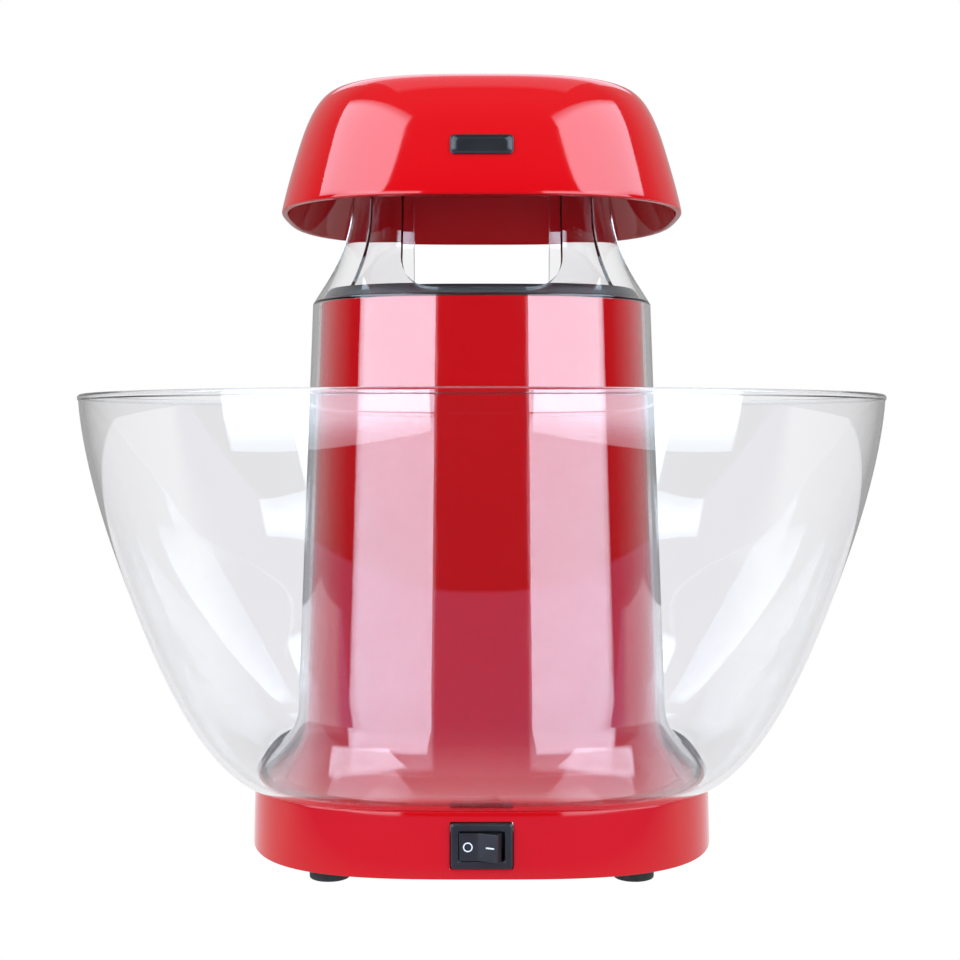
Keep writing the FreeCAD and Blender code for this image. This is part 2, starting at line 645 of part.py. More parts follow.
def make_motor_can():
    """The motor's steel can with its front bearing boss."""
    bore = SHAFT_RADIUS + RUN_CLEARANCE
    can = revolve([
        (bore, MOTOR_TOP - MOTOR_WALL), (bore, MOTOR_TOP + 2.0), (SHAFT_RADIUS + 3.2, MOTOR_TOP + 2.0),
        (SHAFT_RADIUS + 3.2, MOTOR_TOP), (MOTOR_RADIUS, MOTOR_TOP), (MOTOR_RADIUS, MOTOR_BOTTOM + 3),
        (MOTOR_RADIUS - MOTOR_WALL, MOTOR_BOTTOM + 3), (MOTOR_RADIUS - MOTOR_WALL, MOTOR_TOP - MOTOR_WALL),
    ])
    return can.cut(screw_holes(MOTOR_SCREWS, MOTOR_TOP, 2 * MOTOR_WALL))


def make_motor_magnet():
    """The ring magnet inside the can."""
    return tube(MOTOR_RADIUS - MOTOR_WALL, MOTOR_RADIUS - 4.0, MOTOR_BOTTOM + 7, MOTOR_LENGTH - 12)


def make_motor_rotor():
    """The laminated rotor and its winding, fixed on the shaft."""
    outer = MOTOR_RADIUS - 4.6
    core = tube(outer, SHAFT_RADIUS + 0.01, MOTOR_BOTTOM + 9, MOTOR_LENGTH - 16)
    slots = [turned(block((outer - 3, outer + 1), (-1, 1), (MOTOR_BOTTOM, MOTOR_TOP)), 72 * i)
             for i in range(5)]
    return core.cut(slots)


def make_motor_end_cap():
    """The plastic cap with the rear bearing and the brush terminals."""
    cap = tube(MOTOR_RADIUS, 0, MOTOR_BOTTOM, 2.9)
    well = Part.makeCylinder(SHAFT_RADIUS + RUN_CLEARANCE, 3, V(0, 0, MOTOR_BOTTOM + 1.5))
    tabs = [block((x - 1.5, x + 1.5), (-0.4, 0.4), (MOTOR_BOTTOM - 3.0, MOTOR_BOTTOM)) for x in (-8, 8)]
    bush = tube(4.0, 0, MOTOR_BOTTOM + 2.9, 2.6)
    return fused([cap, bush] + tabs).cut(well.fuse(
        Part.makeCylinder(SHAFT_RADIUS + RUN_CLEARANCE, 8, V(0, 0, MOTOR_BOTTOM + 2))))


def make_rectifier_board():
    """The small circuit board with four diodes and a capacitor, on the bottom plate."""
    z = PLATE_TOP + 3.0
    x0 = 26.0
    board = block((x0, x0 + 26), (-11, 11), (z, z + 1.6))
    posts = [Part.makeCylinder(1.6, 3.0, V(x0 + 13 + dx, dy, PLATE_TOP)) for dx in (-10, 10) for dy in (-8, 8)]
    parts = [board] + posts
    for i in range(4):
        parts.append(Part.makeCylinder(1.5, 6, V(x0 + 3, -7.5 + 5 * i, z + 1.6 + 1.5), X_AXIS))
        parts.append(block((x0 + 4, x0 + 8), (-8.1 + 5 * i, -6.9 + 5 * i), (z + 1.5, z + 2.6)))
    parts.append(Part.makeCylinder(4.2, 9.5, V(x0 + 19, 0, z + 1.5)))
    return fused(parts)


# ---- switch ----
def make_switch_body():
    """The switch's bezel and snap-in body, hollow for the rocker."""
    front = BEZEL_SEAT_Y - BEZEL_THICK
    back = BEZEL_SEAT_Y + SWITCH_BODY_DEPTH
    bezel = block((-BEZEL_WIDTH / 2, BEZEL_WIDTH / 2), (front, BEZEL_SEAT_Y),
                  (SWITCH_Z - BEZEL_HEIGHT / 2, SWITCH_Z + BEZEL_HEIGHT / 2))
    bezel = bezel.makeFillet(0.7, [e for e in bezel.Edges if e.BoundBox.YMax < front + 0.01])
    box = block((-SWITCH_BODY_WIDTH / 2, SWITCH_BODY_WIDTH / 2), (BEZEL_SEAT_Y, back),
                (SWITCH_Z - SWITCH_BODY_HEIGHT / 2, SWITCH_Z + SWITCH_BODY_HEIGHT / 2))
    body = bezel.fuse(box)
    pocket = block((-ROCKER_WIDTH / 2, ROCKER_WIDTH / 2), (front - OVERRUN, back - 2.5),
                   (SWITCH_Z - ROCKER_HEIGHT / 2, SWITCH_Z + ROCKER_HEIGHT / 2))
    pins = Part.makeCylinder(1.0 + RUN_CLEARANCE, ROCKER_HEIGHT + 2.4,
                             V(0, ROCKER_PIVOT_Y, SWITCH_Z - ROCKER_HEIGHT / 2 - 1.2))
    return body.cut(pocket).cut(pins).removeSplitter()


def rocker_outline():
    """The rocker in plan, in its middle position: x and distance out from the pivot."""
    bezel_face = ROCKER_PIVOT_Y - (BEZEL_SEAT_Y - BEZEL_THICK)
    half = ROCKER_WIDTH / 2 - ROCKER_GAP
    tilt = math.tan(math.radians(ROCKER_TILT))
    middle = bezel_face + 0.9
    top_half = half - 0.9
    end = middle + top_half * tilt
    return [(-top_half, end), (0, middle), (top_half, end), (half - 0.2, bezel_face - 1.6),
            (2.6, -3.2), (-2.6, -3.2), (-half + 0.2, bezel_face - 1.6)]


def rocker_turn(shape):
    """Moves a shape from the middle position to OFF, with the left end pressed in."""
    return turned(shape, -ROCKER_TILT, V(0, ROCKER_PIVOT_Y, 0))


def make_rocker():
    """The rocker key with its two pivot pins."""
    half = ROCKER_HEIGHT / 2 - ROCKER_GAP
    points = [V(x, ROCKER_PIVOT_Y - out, SWITCH_Z - half) for x, out in rocker_outline()]
    key = Part.Face(Part.makePolygon(points + [points[0]])).extrude(V(0, 0, 2 * half))
    front = [e for e in key.Edges if e.BoundBox.YMax < BEZEL_SEAT_Y - BEZEL_THICK and e.BoundBox.ZLength > 1]
    key = key.makeFillet(0.5, front)
    pins = Part.makeCylinder(1.0, ROCKER_HEIGHT + 2.0, V(0, ROCKER_PIVOT_Y, SWITCH_Z - ROCKER_HEIGHT / 2 - 1.0))
    return rocker_turn(key.fuse(pins).removeSplitter())


def make_rocker_marks():
    """The white ring and bar printed on the rocker's two faces."""
    bezel_face = ROCKER_PIVOT_Y - (BEZEL_SEAT_Y - BEZEL_THICK)
    middle = bezel_face + 0.9
    arm = ROCKER_WIDTH / 4
    lift = 0.12
    marks = []
    for side in (-1, 1):
        out = middle + arm * math.tan(math.radians(ROCKER_TILT))
        centre = V(side * arm, ROCKER_PIVOT_Y - out, SWITCH_Z)
        if side < 0:
            mark = Part.makeCylinder(1.65, lift, V(centre.x, centre.y - lift, centre.z), Y_AXIS)
            mark = mark.cut(Part.makeCylinder(1.2, lift, V(centre.x, centre.y - lift, centre.z), Y_AXIS))
        else:
            mark = block((centre.x - 1.5, centre.x + 1.5), (centre.y - lift, centre.y),
                         (centre.z - 0.25, centre.z + 0.25))
        mark.translate(V(0, -0.01, 0))
        marks.append(rocker_turn(turned(mark, -side * ROCKER_TILT, centre)))
    return marks


def make_switch_terminals():
    """The two brass tabs at the back of the switch."""
    back = BEZEL_SEAT_Y + SWITCH_BODY_DEPTH
    return [block((x - 0.4, x + 0.4), (back, back + 7), (SWITCH_Z - 2.4, SWITCH_Z + 2.4)) for x in (-3.5, 3.5)]


# ---- cord outlet ----
def make_cord_gland():
    """The bush that a mains cord passes through at the back of the base."""
    body = CORD_BORE_RADIUS + GLAND_WALL
    outer_y = BASE_HALF + GLAND_FLANGE
    flange_back = BASE_HALF + 0.1
    parts = [Part.makeCylinder(body + 1.8, outer_y - flange_back, V(0, flange_back, SWITCH_Z), Y_AXIS),
             Part.makeCylinder(body, GLAND_LENGTH, V(0, outer_y - GLAND_LENGTH, SWITCH_Z), Y_AXIS),
             Part.makeCylinder(body + 1.0, 1.8, V(0, outer_y - GLAND_LENGTH, SWITCH_Z), Y_AXIS)]
    bush = fused(parts)
    return bush.cut(Part.makeCylinder(CORD_BORE_RADIUS, 2 * GLAND_LENGTH,
                                      V(0, outer_y - 1.5 * GLAND_LENGTH, SWITCH_Z), Y_AXIS))


# ---- inner leads ----
def make_leads():
    """Live from the gland to the switch, and switched live to the board."""
    z = SWITCH_Z
    tab_y = BEZEL_SEAT_Y + SWITCH_BODY_DEPTH + 7.2
    gland_y = BASE_HALF + GLAND_FLANGE - GLAND_LENGTH - 0.3
    live = wire_run([(-1.6, gland_y, z), (-3.5, gland_y - 14, z - 1), (-20, 44, z - 4), (-26, 18, z - 5),
                 (-26, -14, z - 5), (-18, -38, z - 3), (-3.5, tab_y + 9, z), (-3.5, tab_y, z)], LEAD_RADIUS)
    fed = wire_run([(3.5, tab_y, z), (3.5, tab_y + 10, z), (14, -34, z - 1), (28, -22, z), (39, -11.5, z - 3)], LEAD_RADIUS)
    neutral = wire_run([(1.6, gland_y, z), (4, gland_y - 14, z - 1), (20, 42, z - 2), (38, 28, z - 1),
                    (39, 11.5, z - 3)], LEAD_RADIUS)
    return [live, fed, neutral]


# ---- clear chimney and bowl ----
def make_chimney():
    """The clear sleeve over the tower: skirt, neck, four windows and a top ring."""
    sleeve = shell(chimney_runs(), SLEEVE_WALL)
    reach = BASE_HALF
    window = block((-WINDOW_WIDTH / 2, WINDOW_WIDTH / 2), (-reach, reach), (WINDOW_BOTTOM_Z, WINDOW_TOP_Z))
    for low, high, radius in ((WINDOW_BOTTOM_Z - 1, WINDOW_BOTTOM_Z + 1, WINDOW_CORNER),
                              (WINDOW_TOP_Z - 1, CROWN_Z, WINDOW_HEAD)):
        corners = [e for e in window.Edges if e.BoundBox.YLength > reach
                   and e.BoundBox.ZMin > low and e.BoundBox.ZMax < high]
        window = window.makeFillet(radius, corners)
    return sleeve.cut([window, turned(window, 90)]).removeSplitter()


def make_bowl():
    """The clear bowl: a wall with a beaded rim, and a narrow floor that the chimney is bonded to."""
    wall = shell([bowl_sections()], BOWL_WALL)
    thick = BOWL_WALL / 2 + BOWL_BEAD / 2
    bead = Part.makeTorus(BOWL_RIM_HALF - BOWL_WALL / 2, thick, V(0, 0, BOWL_RIM_Z - thick))
    floor = prism(BASE_HALF - BOWL_WALL / 2, BASE_POWER, BOWL_BOTTOM_Z, BOWL_FLOOR)
    floor = floor.cut(prism(BASE_HALF - BOWL_FLOOR_WIDTH, BASE_POWER, BOWL_BOTTOM_Z - OVERRUN,
                            BOWL_FLOOR + 2 * OVERRUN))
    return fused([wall, bead, floor])


# ---- dome ----
def make_dome():
    """The red dome with the collar that drops over the chimney's top ring."""
    outer = loft(dome_sections())
    inner_sections = dome_sections(DOME_WALL)
    inner_sections[0] = (DOME_RIM_Z - OVERRUN, *inner_sections[0][1:])
    cap = outer.cut(loft(inner_sections))
    inside = CROWN_HALF + COLLAR_FIT
    start = CROWN_Z - COLLAR_OVERLAP
    height = DOME_TOP - DOME_WALL / 2 - start
    collar = prism(inside + COLLAR_WALL, TOWER_POWER, start, height)
    collar = collar.cut(prism(inside, TOWER_POWER, start - OVERRUN, height + 2 * OVERRUN))
    stop = prism(inside + COLLAR_WALL / 2, TOWER_POWER, CROWN_Z, 2.5)
    stop = stop.cut(prism(inside - 3.0, TOWER_POWER, CROWN_Z - OVERRUN, 2.5 + 2 * OVERRUN))
    return fused([cap, collar.common(outer), stop])


def dome_half_at(z):
    """The dome's outer half-width on its side wall at height z."""
    share = (z - DOME_RIM_Z) / DOME_SHOULDER_RISE
    return DOME_HALF - DOME_DRAFT * max(share, 0) ** 1.15


def make_badge():
    """A plain pill-shaped plate, following the dome's front."""
    z = DOME_RIM_Z + BADGE_RISE
    low, high = z - BADGE_HEIGHT, z + BADGE_HEIGHT
    skin = [(h, dome_half_at(h) + BADGE_THICK, DOME_POWER) for h in (low, z, high)]
    layer = loft(skin).cut(loft(dome_sections()))
    depth = (-DOME_HALF - 5, -DOME_HALF / 2)
    end = BADGE_HEIGHT / 2
    pill = block((-BADGE_WIDTH / 2 + end, BADGE_WIDTH / 2 - end), depth, (z - end, z + end))
    for x in (-BADGE_WIDTH / 2 + end, BADGE_WIDTH / 2 - end):
        pill = pill.fuse(Part.makeCylinder(end, depth[1] - depth[0], V(x, depth[0], z), Y_AXIS))
    return layer.common(pill.removeSplitter())


# ---- all nodes ----
def main():
    """Builds and writes every node."""
    os.makedirs("parts", exist_ok=True)
    save("base_shell", make_base_shell())
    save("bottom_plate", make_bottom_plate())
    save("rubber_feet", [make_foot(x, y) for x, y in foot_places()])
    save("tower_housing", make_tower_housing())
    save("chamber_collar", make_chamber_collar())
    save("popping_chamber", make_popping_chamber())
    save("heater_can", make_heater_can())
    save("mica_cross", make_mica_cross())
    save("heating_coil", make_heating_coil())
    save("thermostat", make_thermostat())
    save("thermal_fuse", make_thermal_fuse())
    save("fan_case", make_fan_case())
    save("impeller", make_impeller())
    save("motor_shaft", make_motor_shaft())
    save("shaft_nut", make_shaft_nut())
    save("motor_can", make_motor_can())
    save("motor_magnet", make_motor_magnet())
    save("motor_rotor", make_motor_rotor())
    save("motor_end_cap", make_motor_end_cap())
    save("rectifier_board", make_rectifier_board())
    save("switch_body", make_switch_body())
    save("switch_rocker", make_rocker())
    save("rocker_marks", make_rocker_marks())
    save("switch_terminals", make_switch_terminals())
    save("cord_gland", make_cord_gland())
    save("inner_leads", make_leads())
    save("plate_screws", [screw(x, y, PLATE_BOTTOM, 12.0) for x, y in PLATE_SCREWS])
    save("tower_screws", [screw(x, y, DECK_UNDER, 10.0) for x, y in TOWER_SCREWS])
    fan_top = DECK_TOP + FAN_FLANGE_THICK
    save("fan_case_screws", [screw(x, y, fan_top, 8.0, False) for x, y in FAN_SCREWS])
    save("motor_screws", [screw(x, y, FAN_FLOOR_TOP, 6.0, False) for x, y in MOTOR_SCREWS])
    save("chimney", make_chimney())
    save("bowl", make_bowl())
    save("dome", make_dome())
    save("badge", make_badge())


main()
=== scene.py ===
import logging
import math
from dataclasses import dataclass, field
from enum import Enum
from functools import lru_cache
from typing import Any, Optional, Sequence

import bmesh
import bpy
import numpy as np
from mathutils import Matrix, Vector


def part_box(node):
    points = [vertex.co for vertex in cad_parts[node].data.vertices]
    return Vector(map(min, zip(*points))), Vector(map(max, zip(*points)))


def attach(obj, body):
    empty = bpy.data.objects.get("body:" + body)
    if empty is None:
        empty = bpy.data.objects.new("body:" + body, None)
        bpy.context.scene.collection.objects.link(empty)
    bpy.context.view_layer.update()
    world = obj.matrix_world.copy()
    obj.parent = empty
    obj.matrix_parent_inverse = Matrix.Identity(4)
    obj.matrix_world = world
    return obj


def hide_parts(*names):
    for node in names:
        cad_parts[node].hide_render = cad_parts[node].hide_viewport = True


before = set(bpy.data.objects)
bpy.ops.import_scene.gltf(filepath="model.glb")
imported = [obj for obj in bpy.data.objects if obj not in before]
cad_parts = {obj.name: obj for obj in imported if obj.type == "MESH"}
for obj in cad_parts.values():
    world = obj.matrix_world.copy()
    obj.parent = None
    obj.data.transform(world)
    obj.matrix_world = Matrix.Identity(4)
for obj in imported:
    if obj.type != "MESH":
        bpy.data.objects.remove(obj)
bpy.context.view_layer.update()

LOG = logging.getLogger("popcorn_maker")
MM = 0.001

Row = tuple[float, float, float]
Grid = tuple[list[tuple[float, float, float]], list[tuple[int, ...]]]


# ---------------------------------------------------------------- small helpers
def linear(hex_code: str) -> tuple[float, float, float, float]:
    """Turns an sRGB hex value into linear light.

    Args:
        hex_code: Six hex digits with a leading #.

    Returns:
        Linear red, green, blue and an alpha of 1.
    """
    parts = [int(hex_code[i:i + 2], 16) / 255 for i in (1, 3, 5)]
    light = [p / 12.92 if p <= 0.04045 else ((p + 0.055) / 1.055) ** 2.4 for p in parts]
    return light[0], light[1], light[2], 1.0


def add_node(tree: bpy.types.NodeTree, kind: str, inputs: Optional[dict[Any, Any]] = None,
             **settings: Any) -> bpy.types.Node:
    """Adds one node with its settings, values and links.

    Args:
        tree: The node tree to add to.
        kind: Blender's name of the node type.
        inputs: A value or an output socket for each named or numbered input.
        **settings: Attributes of the node.

    Returns:
        The new node.
    """
    node = tree.nodes.new(kind)
    for name, value in settings.items():
        setattr(node, name, value)
    for key, value in (inputs or {}).items():
        if isinstance(value, bpy.types.NodeSocket):
            tree.links.new(value, node.inputs[key])
        else:
            node.inputs[key].default_value = value
    return node


@lru_cache(maxsize=None)
def box_of(node: str) -> tuple[tuple[float, ...], tuple[float, ...]]:
    """Lowest and highest corner in millimetres of a CAD node."""
    low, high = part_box(node)
    return tuple(v / MM for v in low), tuple(v / MM for v in high)


def top_of(node: str) -> float:
    """Height in millimetres of the top of a CAD node."""
    return box_of(node)[1][2]


def foot_of(node: str) -> float:
    """Height in millimetres of the underside of a CAD node."""
    return box_of(node)[0][2]


# ---------------------------------------------------------------- mesh building
def even_angles(count: int) -> np.ndarray:
    """Angles all the way round, evenly spaced."""
    return np.linspace(0, 2 * math.pi, count, endpoint=False)


def squircle(row: Row, angles: np.ndarray) -> np.ndarray:
    """Points of |x|^p + |y|^p = half^p at the given angles.

    Args:
        row: Height, half-width and power, in millimetres.
        angles: Polar angles in radians.

    Returns:
        An array of points in millimetres.
    """
    z, half, power = row
    c, s = np.cos(angles), np.sin(angles)
    reach = half / (np.abs(c) ** power + np.abs(s) ** power) ** (1 / power)
    return np.column_stack([reach * c, reach * s, np.full_like(c, z)])


def ring_loft(rings: Sequence[np.ndarray], looped: bool = False, capped: bool = False) -> Grid:
    """Joins rings of equally many points into one skin.

    Args:
        rings: Rings of points, each counter-clockwise seen from where the rings go.
        looped: Whether the last ring joins the first, which makes a closed shell.
        capped: Whether both ends are closed with a fan to their middle.

    Returns:
        Vertices in millimetres and faces.
    """
    count, rows = len(rings[0]), len(rings)
    points = [tuple(float(v) for v in p) for ring in rings for p in ring]
    faces: list[tuple[int, ...]] = []
    for i in range(rows if looped else rows - 1):
        a, b = i * count, ((i + 1) % rows) * count
        for j in range(count):
            k = (j + 1) % count
            faces.append((a + j, a + k, b + k, b + j))
    if capped:
        points.append(tuple(float(v) for v in np.mean(rings[0], axis=0)))
        points.append(tuple(float(v) for v in np.mean(rings[-1], axis=0)))
        last, start, end = (rows - 1) * count, len(points) - 2, len(points) - 1
        for j in range(count):
            k = (j + 1) % count
            faces.append((start, k, j))
            faces.append((end, last + j, last + k))
    return points, faces


def joined(*grids: Grid) -> Grid:
    """Puts several meshes into one.

    Args:
        *grids: The meshes, in order.

    Returns:
        Points and faces of them all, renumbered.
    """
    points: list[tuple[float, float, float]] = []
    faces: list[tuple[int, ...]] = []
    for more_points, more_faces in grids:
        shift = len(points)
        points += more_points
        faces += [tuple(i + shift for i in face) for face in more_faces]
    return points, faces


def placed(grid: Grid, matrix: Matrix) -> Grid:
    """Moves a mesh by a matrix in millimetres."""
    return [tuple(matrix @ Vector(p)) for p in grid[0]], grid[1]


def make_object(name: str, grid: Grid, material: bpy.types.Material) -> bpy.types.Object:
    """Makes a smooth-shaded mesh object at the origin.

    Args:
        name: The object's name.
        grid: Vertices in millimetres and faces.
        material: The finish of the whole piece.

    Returns:
        The new object, linked to the scene.
    """
    mesh = bpy.data.meshes.new(name)
    mesh.from_pydata([tuple(v * MM for v in p) for p in grid[0]], [], grid[1])
    mesh.materials.append(material)
    mesh.polygons.foreach_set("use_smooth", [True] * len(mesh.polygons))
    mesh.update()
    obj = bpy.data.objects.new(name, mesh)
    bpy.context.scene.collection.objects.link(obj)
    return obj


def bake_modifiers(obj: bpy.types.Object) -> None:
    """Turns the evaluated shape of an object into its own mesh.

    Args:
        obj: The object, which is left with no modifier.
    """
    depsgraph = bpy.context.evaluated_depsgraph_get()
    mesh = bpy.data.meshes.new_from_object(obj.evaluated_get(depsgraph))
    obj.modifiers.clear()
    obj.data = mesh


def finish_edges(obj: bpy.types.Object, wall: float = 0.0, edge: float = 0.3, segments: int = 2,
                 limit: float = 50.0) -> None:
    """Gives a skin its wall and rounds its sharp edges.

    Args:
        obj: The piece.
        wall: Thickness of the wall in millimetres, or 0 for a piece that is closed already.
        edge: Width of the edge rounding in millimetres.
        segments: Faces across the rounding.
        limit: Angle in degrees past which an edge counts as sharp.
    """
    if wall:
        solid = obj.modifiers.new("wall", "SOLIDIFY")
        solid.thickness = wall * MM
        solid.offset = -1
        solid.use_even_offset = True
        solid.use_quality_normals = True
    bevel = obj.modifiers.new("edges", "BEVEL")
    bevel.width = edge * MM
    bevel.segments = segments
    bevel.limit_method = "ANGLE"
    bevel.angle_limit = math.radians(limit)
    normals = obj.modifiers.new("normals", "WEIGHTED_NORMAL")
    normals.keep_sharp = True
    bake_modifiers(obj)


def rounded_rectangle(width: float, height: float, radius: float, per_corner: int = 8) -> np.ndarray:
    """Outline of a rounded rectangle, counter-clockwise, as many points for any size.

    Args:
        width: Size in X, in millimetres.
        height: Size in Y, in millimetres.
        radius: Radius of the corners, in millimetres.
        per_corner: Steps round each corner.

    Returns:
        The outline's points, one row each.
    """
    points = []
    for i, (sx, sy) in enumerate(((1, 1), (-1, 1), (-1, -1), (1, -1))):
        for k in range(per_corner + 1):
            a = math.pi / 2 * (i + k / per_corner)
            points.append((sx * (width / 2 - radius) + radius * math.cos(a),
                           sy * (height / 2 - radius) + radius * math.sin(a)))
    return np.array(points)


def front_ring(outline: np.ndarray, y: float, z: float, x: float = 0.0) -> np.ndarray:
    """Stands a flat outline up to face the front, at depth y and height z."""
    return np.column_stack([x + outline[:, 0], np.full(len(outline), y), z + outline[:, 1]])


def lathe(profile: Sequence[tuple[float, float]], count: int = 96, looped: bool = True) -> Grid:
    """Turns a profile about Z.

    Args:
        profile: Radius and height of each point, going up on the outside.
        count: Steps round the axis.
        looped: Whether the profile closes on itself; otherwise both ends are closed by a fan.

    Returns:
        Vertices in millimetres and faces.
    """
    rings = [squircle((z, max(r, 0.001), 2.0), even_angles(count)) for r, z in profile]
    return ring_loft(rings, looped=looped, capped=not looped)


def offset_inward(profile: Sequence[Row], wall: float) -> list[Row]:
    """Moves a profile inward by a wall measured square to it.

    Args:
        profile: Rows going up on the outside.
        wall: Thickness in millimetres.

    Returns:
        The inner rows, in the same order.
    """
    plane = np.array([(half, z) for z, half, _ in profile])
    run = np.gradient(plane, axis=0)
    run /= np.linalg.norm(run, axis=1)[:, None]
    inner = plane + wall * np.column_stack([-run[:, 1], run[:, 0]])
    return [(float(p[1]), float(p[0]), row[2]) for p, row in zip(inner, profile)]


# ---------------------------------------------------------------- finishes
@dataclass(frozen=True)
class Finish:
    """A material: one class for each way a surface was made."""

    name: str

    def material(self) -> bpy.types.Material:
        """Builds the material once and returns it after that.

        Returns:
            The material.
        """
        found = bpy.data.materials.get(self.name)
        if found:
            return found
        made = bpy.data.materials.new(self.name)
        made.use_nodes = True
        made.node_tree.nodes.clear()
        tree = made.node_tree
        place = add_node(tree, "ShaderNodeTexCoord").outputs["Object"]
        surface = self.surface(tree, place)
        add_node(tree, "ShaderNodeOutputMaterial", {"Surface": surface})
        return made

    def surface(self, tree: bpy.types.NodeTree, place: bpy.types.NodeSocket) -> bpy.types.NodeSocket:
        """Adds the shader nodes and returns the shader's output."""
        raise NotImplementedError


def per_metre(size_mm: float) -> float:
    """Noise scale that gives features of about this size."""
    return 1000.0 / size_mm


@dataclass(frozen=True)
class GlossAbs(Finish):
    """High-gloss moulded ABS: a polished tool leaves a mirror skin with long, faint flow waves.

    The skin is nearly a mirror at grazing angles, and the colour is even, with hardly any cloud.
    """

    shade: str = "#B4060D"
    deep: str = "#AB050C"
    roughness: float = 0.05
    wave_mm: float = 34.0

    def surface(self, tree: bpy.types.NodeTree, place: bpy.types.NodeSocket) -> bpy.types.NodeSocket:
        """Adds the shader nodes of this finish.

        Args:
            tree: The material's node tree.
            place: The object coordinates.

        Returns:
            The shader's output.
        """
        cloud = add_node(tree, "ShaderNodeTexNoise", {"Vector": place, "Scale": per_metre(60), "Detail": 3.0})
        tone = add_node(tree, "ShaderNodeMix", {0: cloud.outputs["Fac"], 6: linear(self.shade),
                                                7: linear(self.deep)},
                        data_type="RGBA")
        # handling haze, drawn much coarser than real rub marks so that it shows
        rub = add_node(tree, "ShaderNodeTexNoise", {"Vector": place, "Scale": per_metre(18), "Detail": 6.0,
                                                    "Roughness": 0.7})
        haze = add_node(tree, "ShaderNodeMapRange", {"Value": rub.outputs["Fac"], "From Min": 0.35,
                                                     "From Max": 0.8, "To Min": self.roughness,
                                                     "To Max": self.roughness + 0.05})
        wave = add_node(tree, "ShaderNodeTexNoise", {"Vector": place, "Scale": per_metre(self.wave_mm),
                                                     "Detail": 1.0})
        skin = add_node(tree, "ShaderNodeBump", {"Height": wave.outputs["Fac"], "Strength": 0.25,
                                                 "Distance": 0.00006})
        shader = add_node(tree, "ShaderNodeBsdfPrincipled",
                          {"Base Color": tone.outputs[2], "Roughness": haze.outputs[0],
                           "Normal": skin.outputs[0], "IOR": 1.54})
        return shader.outputs[0]


@dataclass(frozen=True)
class ClearStyrene(Finish):
    """Clear moulded styrene: water-clear with a very faint cool tint and gentle ripples in its skin.

    Lamps and scattered light go straight through; only sight and mirror rays are bent, so the
    pieces behind it keep their light.
    """

    tint: str = "#FCFCFD"
    ripple_mm: float = 26.0
    ripple: float = 0.2

    def surface(self, tree: bpy.types.NodeTree, place: bpy.types.NodeSocket) -> bpy.types.NodeSocket:
        """Adds the shader nodes of this finish.

        Args:
            tree: The material's node tree.
            place: The object coordinates.

        Returns:
            The shader's output.
        """
        stretch = add_node(tree, "ShaderNodeMapping", {"Vector": place, "Scale": (1.0, 1.0, 0.35)})
        wave = add_node(tree, "ShaderNodeTexNoise", {"Vector": stretch.outputs[0], "Detail": 1.5,
                                                     "Scale": per_metre(self.ripple_mm)})
        skin = add_node(tree, "ShaderNodeBump", {"Height": wave.outputs["Fac"], "Strength": self.ripple,
                                                 "Distance": 0.00008})
        haze = add_node(tree, "ShaderNodeTexNoise", {"Vector": place, "Scale": per_metre(40), "Detail": 4.0})
        rough = add_node(tree, "ShaderNodeMapRange", {"Value": haze.outputs["Fac"], "From Min": 0.4,
                                                      "From Max": 0.8, "To Min": 0.0, "To Max": 0.03})
        shader = add_node(tree, "ShaderNodeBsdfPrincipled",
                          {"Base Color": linear(self.tint), "Roughness": rough.outputs[0], "IOR": 1.57,
                           "Transmission Weight": 1.0, "Normal": skin.outputs[0]})
        ray = add_node(tree, "ShaderNodeLightPath")
        through = add_node(tree, "ShaderNodeMath", {0: ray.outputs["Is Shadow Ray"],
                                                    1: ray.outputs["Is Diffuse Ray"]},
                           operation="MAXIMUM")
        open_way = add_node(tree, "ShaderNodeBsdfTransparent", {"Color": linear("#F6F7F8")})
        mixed = add_node(tree, "ShaderNodeMixShader", {0: through.outputs[0], 1: shader.outputs[0],
                                                       2: open_way.outputs[0]})
        return mixed.outputs[0]


@dataclass(frozen=True)
class MouldedPlastic(Finish):
    """Moulded plastic with a spark-eroded grain: a fine leathery skin that breaks up highlights."""

    shade: str = "#1A1A1B"
    worn: str = "#26262A"
    roughness: float = 0.42
    grain_mm: float = 0.7
    relief: float = 0.35
    ior: float = 1.53

    def surface(self, tree: bpy.types.NodeTree, place: bpy.types.NodeSocket) -> bpy.types.NodeSocket:
        """Adds the shader nodes of this finish.

        Args:
            tree: The material's node tree.
            place: The object coordinates.

        Returns:
            The shader's output.
        """
        cloud = add_node(tree, "ShaderNodeTexNoise", {"Vector": place, "Scale": per_metre(9), "Detail": 5.0})
        tone = add_node(tree, "ShaderNodeMix", {0: cloud.outputs["Fac"], 6: linear(self.shade),
                                                7: linear(self.worn)},
                        data_type="RGBA")
        rough = add_node(tree, "ShaderNodeMapRange", {"Value": cloud.outputs["Fac"],
                                                      "To Min": self.roughness - 0.06,
                                                      "To Max": self.roughness + 0.1})
        grain = add_node(tree, "ShaderNodeTexVoronoi", {"Vector": place, "Scale": per_metre(self.grain_mm)},
                         feature="SMOOTH_F1")
        skin = add_node(tree, "ShaderNodeBump", {"Height": grain.outputs["Distance"], "Strength": self.relief,
                                                 "Distance": 0.00005})
        shader = add_node(tree, "ShaderNodeBsdfPrincipled",
                          {"Base Color": tone.outputs[2], "Roughness": rough.outputs[0],
                           "Normal": skin.outputs[0], "IOR": self.ior})
        return shader.outputs[0]


